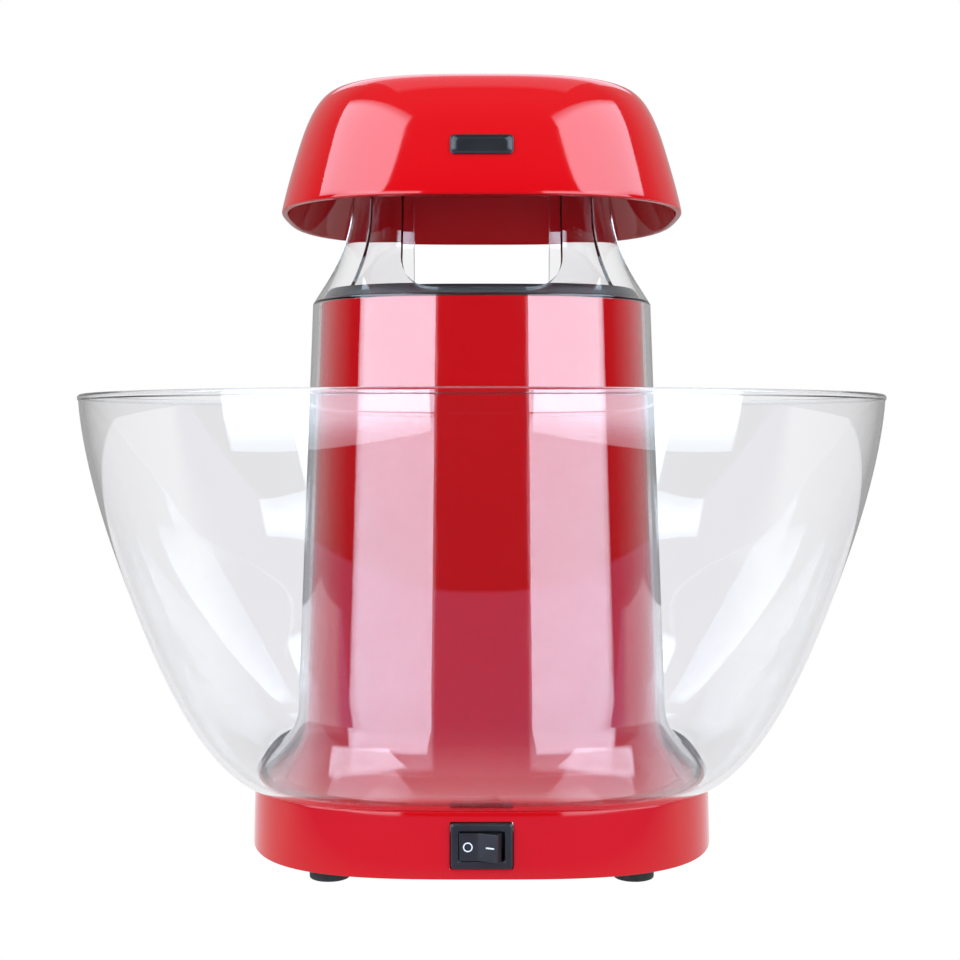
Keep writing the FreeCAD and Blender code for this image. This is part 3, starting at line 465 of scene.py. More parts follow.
@dataclass(frozen=True)
class MouldedRubber(Finish):
    """Moulded rubber: dull, near black, with a dusty bloom in its hollows."""

    shade: str = "#141414"
    bloom: str = "#2B2A29"

    def surface(self, tree: bpy.types.NodeTree, place: bpy.types.NodeSocket) -> bpy.types.NodeSocket:
        """Adds the shader nodes of this finish.

        Args:
            tree: The material's node tree.
            place: The object coordinates.

        Returns:
            The shader's output.
        """
        dust = add_node(tree, "ShaderNodeTexNoise", {"Vector": place, "Scale": per_metre(3), "Detail": 8.0,
                                                     "Roughness": 0.65})
        ramp = add_node(tree, "ShaderNodeValToRGB", {0: dust.outputs["Fac"]})
        ramp.color_ramp.elements[0].position = 0.4
        ramp.color_ramp.elements[0].color = linear(self.shade)
        ramp.color_ramp.elements[1].position = 0.85
        ramp.color_ramp.elements[1].color = linear(self.bloom)
        skin = add_node(tree, "ShaderNodeBump", {"Height": dust.outputs["Fac"], "Strength": 0.3,
                                                 "Distance": 0.0001})
        shader = add_node(tree, "ShaderNodeBsdfPrincipled",
                          {"Base Color": ramp.outputs[0], "Roughness": 0.82, "Normal": skin.outputs[0],
                           "IOR": 1.5, "Sheen Weight": 0.1})
        return shader.outputs[0]


@dataclass(frozen=True)
class SpunMetal(Finish):
    """Spun or drawn sheet metal: fine rings about the axis, with a soft streak across them."""

    shade: str = "#C9CBCE"
    dull: str = "#A9ABAF"
    roughness: float = 0.28
    line_mm: float = 0.5

    def surface(self, tree: bpy.types.NodeTree, place: bpy.types.NodeSocket) -> bpy.types.NodeSocket:
        """Adds the shader nodes of this finish.

        Args:
            tree: The material's node tree.
            place: The object coordinates.

        Returns:
            The shader's output.
        """
        split = add_node(tree, "ShaderNodeSeparateXYZ", {0: place})
        flat = add_node(tree, "ShaderNodeCombineXYZ", {0: split.outputs[0], 1: split.outputs[1]})
        away = add_node(tree, "ShaderNodeVectorMath", {0: flat.outputs[0]}, operation="LENGTH")
        rings = add_node(tree, "ShaderNodeCombineXYZ", {0: away.outputs["Value"], 1: split.outputs[2]})
        lines = add_node(tree, "ShaderNodeTexNoise", {"Vector": rings.outputs[0],
                                                      "Scale": per_metre(self.line_mm), "Detail": 3.0,
                                                      "Roughness": 0.6})
        cloud = add_node(tree, "ShaderNodeTexNoise", {"Vector": place, "Scale": per_metre(22), "Detail": 4.0})
        tone = add_node(tree, "ShaderNodeMix", {0: cloud.outputs["Fac"], 6: linear(self.shade),
                                                7: linear(self.dull)},
                        data_type="RGBA")
        rough = add_node(tree, "ShaderNodeMapRange", {"Value": lines.outputs["Fac"],
                                                      "To Min": self.roughness - 0.08,
                                                      "To Max": self.roughness + 0.12})
        skin = add_node(tree, "ShaderNodeBump", {"Height": lines.outputs["Fac"], "Strength": 0.25,
                                                 "Distance": 0.00003})
        shader = add_node(tree, "ShaderNodeBsdfPrincipled",
                          {"Base Color": tone.outputs[2], "Metallic": 1.0, "Roughness": rough.outputs[0],
                           "Normal": skin.outputs[0]})
        return shader.outputs[0]


@dataclass(frozen=True)
class PlatedMetal(Finish):
    """Zinc- or tin-plated metal: small crystals that differ slightly in tone and dullness."""

    shade: str = "#B9BBBF"
    dull: str = "#8C8E93"
    roughness: float = 0.33
    crystal_mm: float = 2.2

    def surface(self, tree: bpy.types.NodeTree, place: bpy.types.NodeSocket) -> bpy.types.NodeSocket:
        """Adds the shader nodes of this finish.

        Args:
            tree: The material's node tree.
            place: The object coordinates.

        Returns:
            The shader's output.
        """
        crystals = add_node(tree, "ShaderNodeTexVoronoi", {"Vector": place,
                                                           "Scale": per_metre(self.crystal_mm)})
        pick = add_node(tree, "ShaderNodeSeparateXYZ", {0: crystals.outputs["Color"]})
        tone = add_node(tree, "ShaderNodeMix", {0: pick.outputs[0], 6: linear(self.shade),
                                                7: linear(self.dull)},
                        data_type="RGBA")
        rough = add_node(tree, "ShaderNodeMapRange", {"Value": pick.outputs[1],
                                                      "To Min": self.roughness - 0.07,
                                                      "To Max": self.roughness + 0.1})
        scratch = add_node(tree, "ShaderNodeTexNoise", {"Vector": place, "Scale": per_metre(0.8),
                                                        "Detail": 5.0})
        skin = add_node(tree, "ShaderNodeBump", {"Height": scratch.outputs["Fac"], "Strength": 0.2,
                                                 "Distance": 0.00003})
        shader = add_node(tree, "ShaderNodeBsdfPrincipled",
                          {"Base Color": tone.outputs[2], "Metallic": 1.0, "Roughness": rough.outputs[0],
                           "Normal": skin.outputs[0]})
        return shader.outputs[0]


@dataclass(frozen=True)
class LayeredSheet(Finish):
    """Flaky sheet such as mica or resin laminate: thin layers that show as streaks and specks."""

    shade: str = "#B79A63"
    fleck: str = "#8A6A3C"
    roughness: float = 0.45
    fleck_mm: float = 1.6

    def surface(self, tree: bpy.types.NodeTree, place: bpy.types.NodeSocket) -> bpy.types.NodeSocket:
        """Adds the shader nodes of this finish.

        Args:
            tree: The material's node tree.
            place: The object coordinates.

        Returns:
            The shader's output.
        """
        flakes = add_node(tree, "ShaderNodeTexVoronoi", {"Vector": place, "Scale": per_metre(self.fleck_mm)})
        streak = add_node(tree, "ShaderNodeTexNoise", {"Vector": place, "Scale": per_metre(6), "Detail": 6.0})
        amount = add_node(tree, "ShaderNodeMath", {0: flakes.outputs["Distance"], 1: streak.outputs["Fac"]},
                          operation="MULTIPLY")
        tone = add_node(tree, "ShaderNodeMix", {0: amount.outputs[0], 6: linear(self.shade),
                                                7: linear(self.fleck)},
                        data_type="RGBA")
        skin = add_node(tree, "ShaderNodeBump", {"Height": flakes.outputs["Distance"], "Strength": 0.2,
                                                 "Distance": 0.00005})
        shader = add_node(tree, "ShaderNodeBsdfPrincipled",
                          {"Base Color": tone.outputs[2], "Roughness": self.roughness,
                           "Normal": skin.outputs[0], "IOR": 1.56})
        return shader.outputs[0]


class Finishes:
    """Every finish on the popcorn maker."""

    RED = GlossAbs("moulded_red_gloss_abs")
    CLEAR = ClearStyrene("moulded_clear_styrene")
    COLLAR = MouldedPlastic("moulded_black_nylon", shade="#0C0C0D", worn="#121214", roughness=0.42)
    SWITCH = MouldedPlastic("moulded_black_switch_nylon", shade="#0E0E10", worn="#17171A", roughness=0.3,
                            grain_mm=0.35, relief=0.15)
    PLATE = MouldedPlastic("moulded_black_polypropylene", shade="#1B1B1D", worn="#29292C", roughness=0.5)
    BADGE = MouldedPlastic("printed_black_badge_film", shade="#09090B", worn="#0E0E11", roughness=0.3,
                           grain_mm=0.3, relief=0.08, ior=1.5)
    INK = MouldedPlastic("pad_printed_white_ink", shade="#D6D7D8", worn="#BEC0C2", roughness=0.55,
                         grain_mm=0.25, relief=0.2)
    RUBBER = MouldedRubber("moulded_black_rubber")
    ALUMINIUM = SpunMetal("spun_aluminium")
    CAN = SpunMetal("drawn_sheet_steel", shade="#A8A7A5", dull="#85827E", roughness=0.32, line_mm=0.8)
    ZINC = PlatedMetal("zinc_plated_steel")
    BRASS = PlatedMetal("stamped_brass", shade="#D8B36A", dull="#B58B45", roughness=0.26)
    FERRITE = MouldedPlastic("sintered_ferrite", shade="#2C2B2D", worn="#3B393A", roughness=0.6)
    ROTOR = PlatedMetal("stacked_rotor_steel", shade="#85807A", dull="#5E5952", crystal_mm=0.6)
    MICA = LayeredSheet("cut_mica_board")
    BOARD = LayeredSheet("resin_laminate_board", shade="#A0743A", fleck="#7C5526", fleck_mm=0.9)
    WIRE = PlatedMetal("oxidised_resistance_wire", shade="#6D6258", dull="#453C36", roughness=0.45,
                       crystal_mm=1.5)
    CERAMIC = LayeredSheet("pressed_steatite", shade="#D9D3C4", fleck="#BDB49F", roughness=0.6, fleck_mm=0.8)
    SHEATH = MouldedPlastic("extruded_silicone_sheath", shade="#2A2A2C", worn="#38383A", roughness=0.55)


# ---------------------------------------------------------------- repeated pieces
class Pattern(Enum):
    """Ways in which one small piece is repeated."""

    CORNERS = "corner_copies"
    RING = "ring_copies"


@dataclass
class Repeater:
    """Repeats a small piece with geometry nodes.

    Args:
        pattern: Where the copies go.
    """

    pattern: Pattern
    tree: bpy.types.NodeTree = field(init=False)

    def __post_init__(self) -> None:
        """Builds the node tree for the pattern."""
        self.tree = bpy.data.node_groups.new(self.pattern.value, "GeometryNodeTree")
        sockets = [("Piece", "NodeSocketObject"), ("Material", "NodeSocketMaterial"),
                   ("Height", "NodeSocketFloat")]
        if self.pattern is Pattern.CORNERS:
            sockets += [("Pitch X", "NodeSocketFloat"), ("Pitch Y", "NodeSocketFloat")]
        else:
            sockets += [("Count", "NodeSocketInt"), ("Radius", "NodeSocketFloat"),
                        ("First turn", "NodeSocketFloat")]
        for name, kind in sockets:
            self.tree.interface.new_socket(name, in_out="INPUT", socket_type=kind)
        self.tree.interface.new_socket("Geometry", in_out="OUTPUT", socket_type="NodeSocketGeometry")
        given = add_node(self.tree, "NodeGroupInput").outputs
        points, turn = self._corners(given) if self.pattern is Pattern.CORNERS else self._ring(given)
        piece = add_node(self.tree, "GeometryNodeObjectInfo", {"Object": given["Piece"], "As Instance": True})
        copies = add_node(self.tree, "GeometryNodeInstanceOnPoints",
                          {"Points": points, "Instance": piece.outputs["Geometry"], "Rotation": turn})
        rise = add_node(self.tree, "ShaderNodeCombineXYZ", {2: given["Height"]})
        moved = add_node(self.tree, "GeometryNodeTransform", {"Geometry": copies.outputs[0],
                                                              "Translation": rise.outputs[0]})
        real = add_node(self.tree, "GeometryNodeRealizeInstances", {0: moved.outputs[0]})
        dressed = add_node(self.tree, "GeometryNodeSetMaterial", {"Geometry": real.outputs[0],
                                                                  "Material": given["Material"]})
        add_node(self.tree, "NodeGroupOutput", {0: dressed.outputs[0]})

    def _corners(self, given: Any) -> tuple[bpy.types.NodeSocket, bpy.types.NodeSocket]:
        """Points at the corners of a rectangle, and no turn.

        Args:
            given: The tree's inputs.

        Returns:
            The points, and the turn of each copy.
        """
        grid = add_node(self.tree, "GeometryNodeMeshGrid", {"Size X": given["Pitch X"],
                                                            "Size Y": given["Pitch Y"], "Vertices X": 2,
                                                            "Vertices Y": 2})
        turn = add_node(self.tree, "FunctionNodeEulerToRotation")
        return grid.outputs["Mesh"], turn.outputs[0]

    def _ring(self, given: Any) -> tuple[bpy.types.NodeSocket, bpy.types.NodeSocket]:
        """Points on a circle, each turned to face outwards.

        Args:
            given: The tree's inputs.

        Returns:
            The points, and the turn of each copy.
        """
        circle = add_node(self.tree, "GeometryNodeMeshCircle",
                          {"Vertices": given["Count"], "Radius": given["Radius"]})
        place = add_node(self.tree, "GeometryNodeInputPosition")
        axes = add_node(self.tree, "ShaderNodeSeparateXYZ", {0: place.outputs[0]})
        angle = add_node(self.tree, "ShaderNodeMath", {0: axes.outputs[1], 1: axes.outputs[0]},
                         operation="ARCTAN2")
        total = add_node(self.tree, "ShaderNodeMath", {0: angle.outputs[0], 1: given["First turn"]},
                         operation="ADD")
        about_z = add_node(self.tree, "ShaderNodeCombineXYZ", {2: total.outputs[0]})
        turn = add_node(self.tree, "FunctionNodeEulerToRotation", {0: about_z.outputs[0]})
        return circle.outputs["Mesh"], turn.outputs[0]

    def make(self, name: str, grid: Grid, finish: Finish, **sizes: float) -> bpy.types.Object:
        """Makes one mesh of all the copies.

        Args:
            name: The new object's name.
            grid: The small piece, at the place it has beside the pattern's point.
            finish: What all the copies are made of.
            **sizes: The tree's named inputs, with _ for a space, in metres or as a count.

        Returns:
            The new object, at the origin and with no modifier.
        """
        template = make_object(name + "_template", grid, finish.material())
        obj = make_object(name, ([], []), finish.material())
        modifier = obj.modifiers.new("copies", "NODES")
        modifier.node_group = self.tree
        values = {key.replace("_", " "): value for key, value in sizes.items()}
        values.update({"Piece": template, "Material": finish.material()})
        for item in self.tree.interface.items_tree:
            if item.in_out == "INPUT" and item.name in values:
                modifier[item.identifier] = values[item.name]
        bake_modifiers(obj)
        bpy.data.objects.remove(template)
        obj.data.polygons.foreach_set("use_smooth", [True] * len(obj.data.polygons))
        return obj


@dataclass
class WindingTree:
    """A wire wound round four board edges, made with geometry nodes."""

    tree: bpy.types.NodeTree = field(init=False)

    def __post_init__(self) -> None:
        """Builds the tree: a four-point spiral with bent corners, swept with a round wire."""
        self.tree = bpy.data.node_groups.new("wound_wire", "GeometryNodeTree")
        for name, kind in (("Turns", "NodeSocketFloat"), ("Reach", "NodeSocketFloat"),
                           ("Rise", "NodeSocketFloat"), ("Wire", "NodeSocketFloat"),
                           ("Bend", "NodeSocketFloat"), ("Height", "NodeSocketFloat"),
                           ("Material", "NodeSocketMaterial")):
            self.tree.interface.new_socket(name, in_out="INPUT", socket_type=kind)
        self.tree.interface.new_socket("Geometry", in_out="OUTPUT", socket_type="NodeSocketGeometry")
        given = add_node(self.tree, "NodeGroupInput").outputs
        spiral = add_node(self.tree, "GeometryNodeCurveSpiral",
                          {"Resolution": 4, "Rotations": given["Turns"], "Start Radius": given["Reach"],
                           "End Radius": given["Reach"], "Height": given["Rise"]})
        bent = add_node(self.tree, "GeometryNodeFilletCurve", {"Curve": spiral.outputs[0], "Count": 5,
                                                               "Radius": given["Bend"], "Limit Radius": True},
                        mode="POLY")
        ring = add_node(self.tree, "GeometryNodeCurvePrimitiveCircle",
                        {"Resolution": 10, "Radius": given["Wire"]})
        tube = add_node(self.tree, "GeometryNodeCurveToMesh",
                        {"Curve": bent.outputs[0], "Profile Curve": ring.outputs[0], "Fill Caps": True})
        rise = add_node(self.tree, "ShaderNodeCombineXYZ", {2: given["Height"]})
        moved = add_node(self.tree, "GeometryNodeTransform", {"Geometry": tube.outputs[0],
                                                              "Translation": rise.outputs[0]})
        real = add_node(self.tree, "GeometryNodeRealizeInstances", {0: moved.outputs[0]})
        dressed = add_node(self.tree, "GeometryNodeSetMaterial", {"Geometry": real.outputs[0],
                                                                  "Material": given["Material"]})
        add_node(self.tree, "NodeGroupOutput", {0: dressed.outputs[0]})

    def make(self, name: str, finish: Finish, **sizes: float) -> bpy.types.Object:
        """Makes the wound wire.

        Args:
            name: The new object's name.
            finish: What the wire is made of.
            **sizes: The tree's named inputs in metres, or turns as a number.

        Returns:
            The new object, at the origin and with no modifier.
        """
        obj = make_object(name, ([], []), finish.material())
        modifier = obj.modifiers.new("winding", "NODES")
        modifier.node_group = self.tree
        values = dict(sizes, Material=finish.material())
        for item in self.tree.interface.items_tree:
            if item.in_out == "INPUT" and item.name in values:
                modifier[item.identifier] = values[item.name]
        bake_modifiers(obj)
        obj.data.polygons.foreach_set("use_smooth", [True] * len(obj.data.polygons))
        return obj


# ---------------------------------------------------------------- sub-assemblies
@dataclass
class SubAssembly:
    """A group of pieces that ride on one body.

    Args:
        body: The body that the pieces move with.
    """

    body: str

    def add(self, obj: bpy.types.Object, slot: str, *nodes: str) -> None:
        """Puts a finished piece on the body in place of CAD nodes.

        Args:
            obj: The piece.
            slot: The record's material slot; not used.
            *nodes: The CAD nodes that it stands for.
        """
        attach(obj, self.body)
        if nodes:
            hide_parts(*nodes)
        LOG.info("%s: %d faces on %s", obj.name, len(obj.data.polygons), self.body)

    def build(self) -> None:
        """Builds and dresses every piece of the group."""
        raise NotImplementedError


@dataclass
class BaseUnit(SubAssembly):
    """The red base with its deck, feet, cord bush and closing plate. Sizes in millimetres."""

    half: float = 85.3
    draft: float = 0.5
    power: float = 3.2
    wall: float = 2.4
    edge: float = 0.7
    recess_width: float = 21.3
    recess_height: float = 15.7
    switch_height: float = 11.4
    deck_hole: float = 47.6
    foot_radius: float = 7.2
    foot_pitch: float = 108.0
    bush_bore: float = 3.6
    bush_body: float = 5.4
    bush_flange: float = 7.2

    def build(self) -> None:
        """See SubAssembly."""
        self.add(self.shell(), "red_gloss_plastic", "base_shell")
        self.add(self.feet(), "rubber", "rubber_feet")
        self.add(self.cord_bush(), "black_plastic", "cord_gland")
        self.add(self.plate_screws(), "screw_steel", "plate_screws")

    def rows(self) -> list[Row]:
        """The skirt from its lower edge, over the top edge and in across the deck.

        Returns:
            Rows of height, half-width and power.
        """
        low, high = foot_of("base_shell"), top_of("base_shell")
        middle = low + self.switch_height
        window = (middle - self.recess_height / 2, middle + self.recess_height / 2)
        levels = [low, low + 1.2, *np.linspace(*window, 7), high - 2.2, high - self.edge]
        rows = [(z, self.half - self.draft * (z - low) / (high - low), self.power) for z in levels]
        corner = self.half - self.draft - self.edge
        for degrees in (18, 36, 54, 72, 90):
            turn = math.radians(degrees)
            rows.append((high - self.edge + self.edge * math.sin(turn), corner + self.edge * math.cos(turn),
                         self.power))
        for half in (83.0, 80.0, 72.0, 60.0, self.deck_hole):
            share = (corner - half) / (corner - self.deck_hole)
            rows.append((high, half, self.power + (2.0 - self.power) * share))
        return rows

    def angles(self) -> np.ndarray:
        """Angles round the base, with one at each side of the switch recess.

        Returns:
            Polar angles in radians, counter-clockwise.
        """
        side = math.atan(self.recess_width / 2 / self.half)
        front = -math.pi / 2
        inside = np.linspace(front - side, front + side, 15)
        outside = np.linspace(front + side, front - side + 2 * math.pi, 260)[1:-1]
        return np.concatenate([inside, outside])

    def shell(self) -> bpy.types.Object:
        """The skirt and deck with an opening for the switch.

        Returns:
            The skirt and deck as one closed shell.
        """
        angles, rows = self.angles(), self.rows()
        points, faces = ring_loft([squircle(row, angles) for row in rows])
        low = foot_of("base_shell") + self.switch_height - self.recess_height / 2 - 0.01
        high = low + self.recess_height + 0.02
        count, kept = len(angles), []
        for face in faces:
            levels = [points[i][2] for i in face]
            columns = [i % count for i in face]
            in_window = min(levels) > low and max(levels) < high and max(columns) <= 14
            if not in_window:
                kept.append(face)
        used = sorted({i for face in kept for i in face})
        renumber = {old: new for new, old in enumerate(used)}
        grid = ([points[i] for i in used], [tuple(renumber[i] for i in face) for face in kept])
        obj = make_object("base_skirt_and_deck", grid, Finishes.RED.material())
        finish_edges(obj, wall=self.wall, edge=0.35, segments=3)
        return obj

    def feet(self) -> bpy.types.Object:
        """Four round feet with a soft lower edge and a shallow ring moulded into the underside.

        Returns:
            The four feet as one mesh.
        """
        r, top = self.foot_radius, foot_of("bottom_plate")
        profile = [(0.0, 0.7), (3.2, 0.7), (3.8, 0.1), (4.6, 0.0), (r - 0.7, 0.0)]
        for degrees in (15, 30, 45, 60, 75, 90):
            turn = math.radians(degrees)
            profile.append((r - 0.7 + 0.7 * math.sin(turn), 0.7 - 0.7 * math.cos(turn)))
        profile += [(r, 3.4), (r, top - 0.5), (r - 0.4, top), (0.0, top)]
        repeater = Repeater(Pattern.CORNERS)
        return repeater.make("rubber_foot_set", lathe(profile, 64, looped=False), Finishes.RUBBER, Height=0.0,
                             Pitch_X=self.foot_pitch * MM, Pitch_Y=self.foot_pitch * MM)

    def cord_bush(self) -> bpy.types.Object:
        """The bush at the back: a flange outside, a snap ring inside and a rounded bore.

        Returns:
            The bush, lying along Y.
        """
        inner, outer = box_of("cord_gland")[0][1], box_of("cord_gland")[1][1]
        bore, body, flange = self.bush_bore, self.bush_body, self.bush_flange
        profile = [(body - 0.4, inner), (body + 0.4, inner + 0.2), (body + 1.0, inner + 1.0),
                   (body + 0.9, inner + 1.8), (body, inner + 2.0), (body, self.half + 0.1),
                   (flange, self.half + 0.1), (flange, outer - 0.9), (flange - 0.3, outer - 0.3),
                   (flange - 1.0, outer), (bore + 0.7, outer), (bore + 0.2, outer - 0.2),
                   (bore, outer - 0.7), (bore, inner + 0.5), (bore + 0.3, inner)]
        grid = lathe(profile, 72)
        centre = foot_of("base_shell") + self.switch_height
        turn = Matrix.Translation((0, 0, centre)) @ Matrix.Rotation(math.radians(-90), 4, "X")
        obj = make_object("cord_bush", placed(grid, turn), Finishes.PLATE.material())
        finish_edges(obj, edge=0.12, limit=40)
        return obj

    def plate_screws(self) -> bpy.types.Object:
        """The four screws that hold the plate.

        Returns:
            The four screws as one mesh.
        """
        low, high = box_of("plate_screws")
        pitch = [(high[i] - low[i] - 2 * 2.9) * MM for i in (0, 1)]
        return Repeater(Pattern.CORNERS).make("plate_screw_set", screw_grid(12.0), Finishes.ZINC,
                                              Height=foot_of("bottom_plate") * MM, Pitch_X=pitch[0],
                                              Pitch_Y=pitch[1])


def screw_grid(length: float, head: float = 2.9, shank: float = 1.5, drop: float = 1.8) -> Grid:
    """A pan-head screw standing on its head, with a hexalobular recess in the head.

    Args:
        length: Length of the shank.
        head: Radius of the head.
        shank: Radius of the shank.
        drop: Height of the head.

    Returns:
        The mesh, with the head's bearing face at height 0 and the head below it.
    """
    angles = even_angles(36)
    drive = 1.25 + 0.22 * np.cos(6 * angles)
    rings = []
    for depth, scale in ((0.75, 0.0), (0.75, 0.97), (0.12, 1.0), (0.0, 1.08)):
        reach = drive * max(scale, 0.001)
        rings.append(np.column_stack([reach * np.cos(angles), reach * np.sin(angles),
                                      np.full(36, -drop + depth)]))
    for radius, z in ((head * 0.6, -drop), (head * 0.82, -drop + 0.15), (head * 0.95, -drop + 0.5),
                      (head, -drop + 1.0), (head, -0.1), (head - 0.1, 0.0), (shank, 0.0)):
        rings.append(squircle((z, radius, 2.0), angles))
    pitch = 0.75
    turns = int((length - 1.5) / pitch)
    for i in range(turns):
        rings.append(squircle((0.6 + i * pitch, shank * 0.86, 2.0), angles))
        rings.append(squircle((0.6 + (i + 0.5) * pitch, shank, 2.0), angles))
    rings.append(squircle((length - 0.4, shank * 0.8, 2.0), angles))
    rings.append(squircle((length, shank * 0.3, 2.0), angles))
    return ring_loft(rings, capped=True)


class RockerFace(Enum):
    """The two printed faces of the rocker: which side, in X."""

    OFF = -1
    ON = 1


@dataclass
class RockerSwitch(SubAssembly):
    """The rocker switch: bezel and body on the base, key and marks on their own body. Millimetres."""

    width: float = 21.0
    height: float = 15.4
    bezel: float = 2.0
    body_width: float = 18.8
    body_height: float = 13.0
    opening_width: float = 15.2
    opening_height: float = 9.8
    pocket: float = 9.5
    key_gap: float = 0.25
    tilt: float = 12.0
    pivot_depth: float = 3.0
    crown: float = 0.9
    valley: float = 0.7

    def __post_init__(self) -> None:
        """Reads the switch's place."""
        low, high = box_of("switch_body")
        self.front = low[1]
        self.back = high[1]
        self.seat = self.front + self.bezel
        self.centre = (low[2] + high[2]) / 2
        self.pivot = Vector((0.0, self.front + self.pivot_depth, self.centre))

    def build(self) -> None:
        """See SubAssembly."""
        self.add(self.housing(), "black_plastic", "switch_body")
        key = RockerKey("rocker", self)
        key.build()

    def housing(self) -> bpy.types.Object:
        """Bezel, snap-in body and the pocket that the key rocks in, as one shell.

        Returns:
            The bezel and body.
        """
        rings = [(self.body_width, self.body_height, 0.6, self.back),
                 (self.body_width, self.body_height, 0.6, self.seat),
                 (self.width - 0.2, self.height - 0.2, 0.9, self.seat),
                 (self.width, self.height, 1.0, self.seat - 0.15)]
        for degrees in (0, 22, 45, 68, 90):
            turn = math.radians(degrees)
            inset = 0.7 * (1 - math.cos(turn))
            rings.append((self.width - 2 * inset, self.height - 2 * inset, 1.0 - inset * 0.6,
                          self.front + 0.7 - 0.7 * math.sin(turn)))
        rings += [(self.opening_width + 1.0, self.opening_height + 1.0, 0.9, self.front),
                  (self.opening_width + 0.3, self.opening_height + 0.3, 0.7, self.front + 0.12),
                  (self.opening_width, self.opening_height, 0.6, self.front + 0.45),
                  (self.opening_width, self.opening_height, 0.6, self.front + self.pocket)]
        loops = [front_ring(rounded_rectangle(w, h, r), y, self.centre) for w, h, r, y in rings]
        obj = make_object("switch_bezel", ring_loft(loops, capped=True), Finishes.SWITCH.material())
        finish_edges(obj, edge=0.1, limit=55)
        return obj


@dataclass
class RockerKey(SubAssembly):
    """The key that rocks, and the marks printed on it."""

    switch: RockerSwitch

    def build(self) -> None:
        """See SubAssembly."""
        self.add(self.key(), "black_plastic", "switch_rocker")
        self.add(self.marks(), "white_ink", "rocker_marks")

    def face(self, x: float) -> tuple[float, float]:
        """Distance of the key's face from its pivot, and its slope, at a place along the key.

        Args:
            x: Place along the key from its middle.

        Returns:
            The distance in millimetres, and the slope.
        """
        s = self.switch
        rise = math.tan(math.radians(s.tilt))
        soft = math.sqrt(x * x + s.valley ** 2)
        return s.pivot_depth + s.crown + rise * (soft - s.valley), rise * x / soft

    def resting(self, grid: Grid) -> Grid:
        """Turns a mesh about the pivot from the middle position to off."""
        pivot = Matrix.Translation(self.switch.pivot)
        return placed(grid, pivot @ Matrix.Rotation(math.radians(-self.switch.tilt), 4, "Z"))

    def key(self) -> bpy.types.Object:
        """The key: two dished faces that meet in a soft valley, tapered sides and pivot pins.

        Returns:
            The key, resting at off.
        """
        s = self.switch
        half, top = s.opening_width / 2 - s.key_gap, s.opening_width / 2 - s.key_gap - 0.8
        face_x = np.linspace(-top, top, 29)
        outline = [(float(x), -self.face(float(x))[0]) for x in face_x]
        outline += [(half - 0.05, -s.pivot_depth - 0.3), (half - 0.2, -s.pivot_depth + 1.6), (2.6, 3.2),
                    (-2.6, 3.2), (-half + 0.2, -s.pivot_depth + 1.6), (-half + 0.05, -s.pivot_depth - 0.3)]
        deep = s.opening_height / 2 - s.key_gap
        count = len(outline)
        points = [(x, y, z) for z in (-deep, deep) for x, y in outline]
        faces: list[tuple[int, ...]] = [tuple(reversed(range(count))), tuple(range(count, 2 * count))]
        faces += [(i, (i + 1) % count, count + (i + 1) % count, count + i) for i in range(count)]
        pins = lathe([(0.0, -deep - 1.2), (0.85, -deep - 1.2), (1.0, -deep - 1.05), (1.0, deep + 1.05),
                      (0.85, deep + 1.2), (0.0, deep + 1.2)], 24, looped=False)
        grid = self.resting(joined((points, faces), pins))
        obj = make_object("rocker_key", grid, Finishes.SWITCH.material())
        finish_edges(obj, edge=0.35, segments=4, limit=28)
        return obj

    def marks(self) -> bpy.types.Object:
        """A ring on the off face and a bar on the on face.

        Returns:
            Both marks, on the resting key.
        """
        grids = []
        for face in RockerFace:
            x = face.value * self.switch.opening_width / 4
            out, slope = self.face(x)
            if face is RockerFace.OFF:
                profile = [(1.22, 0.0), (1.62, 0.0), (1.62, 0.05), (1.55, 0.08), (1.3, 0.08), (1.22, 0.05)]
                flat = lathe(profile, 56)
            else:
                outline = rounded_rectangle(3.1, 0.5, 0.2)
                rings = [np.column_stack([outline * k, np.full(len(outline), z)])
                         for k, z in ((1.0, -0.02), (1.0, 0.05), (0.94, 0.08))]
                flat = ring_loft(rings, capped=True)
            stand = Matrix.Rotation(math.radians(90), 4, "X")
            lean = Matrix.Rotation(-math.atan(slope), 4, "Z")
            grids.append(placed(flat, Matrix.Translation((x, -out + 0.01, 0)) @ lean @ stand))
        return make_object("rocker_print", self.resting(joined(*grids)), Finishes.INK.material())


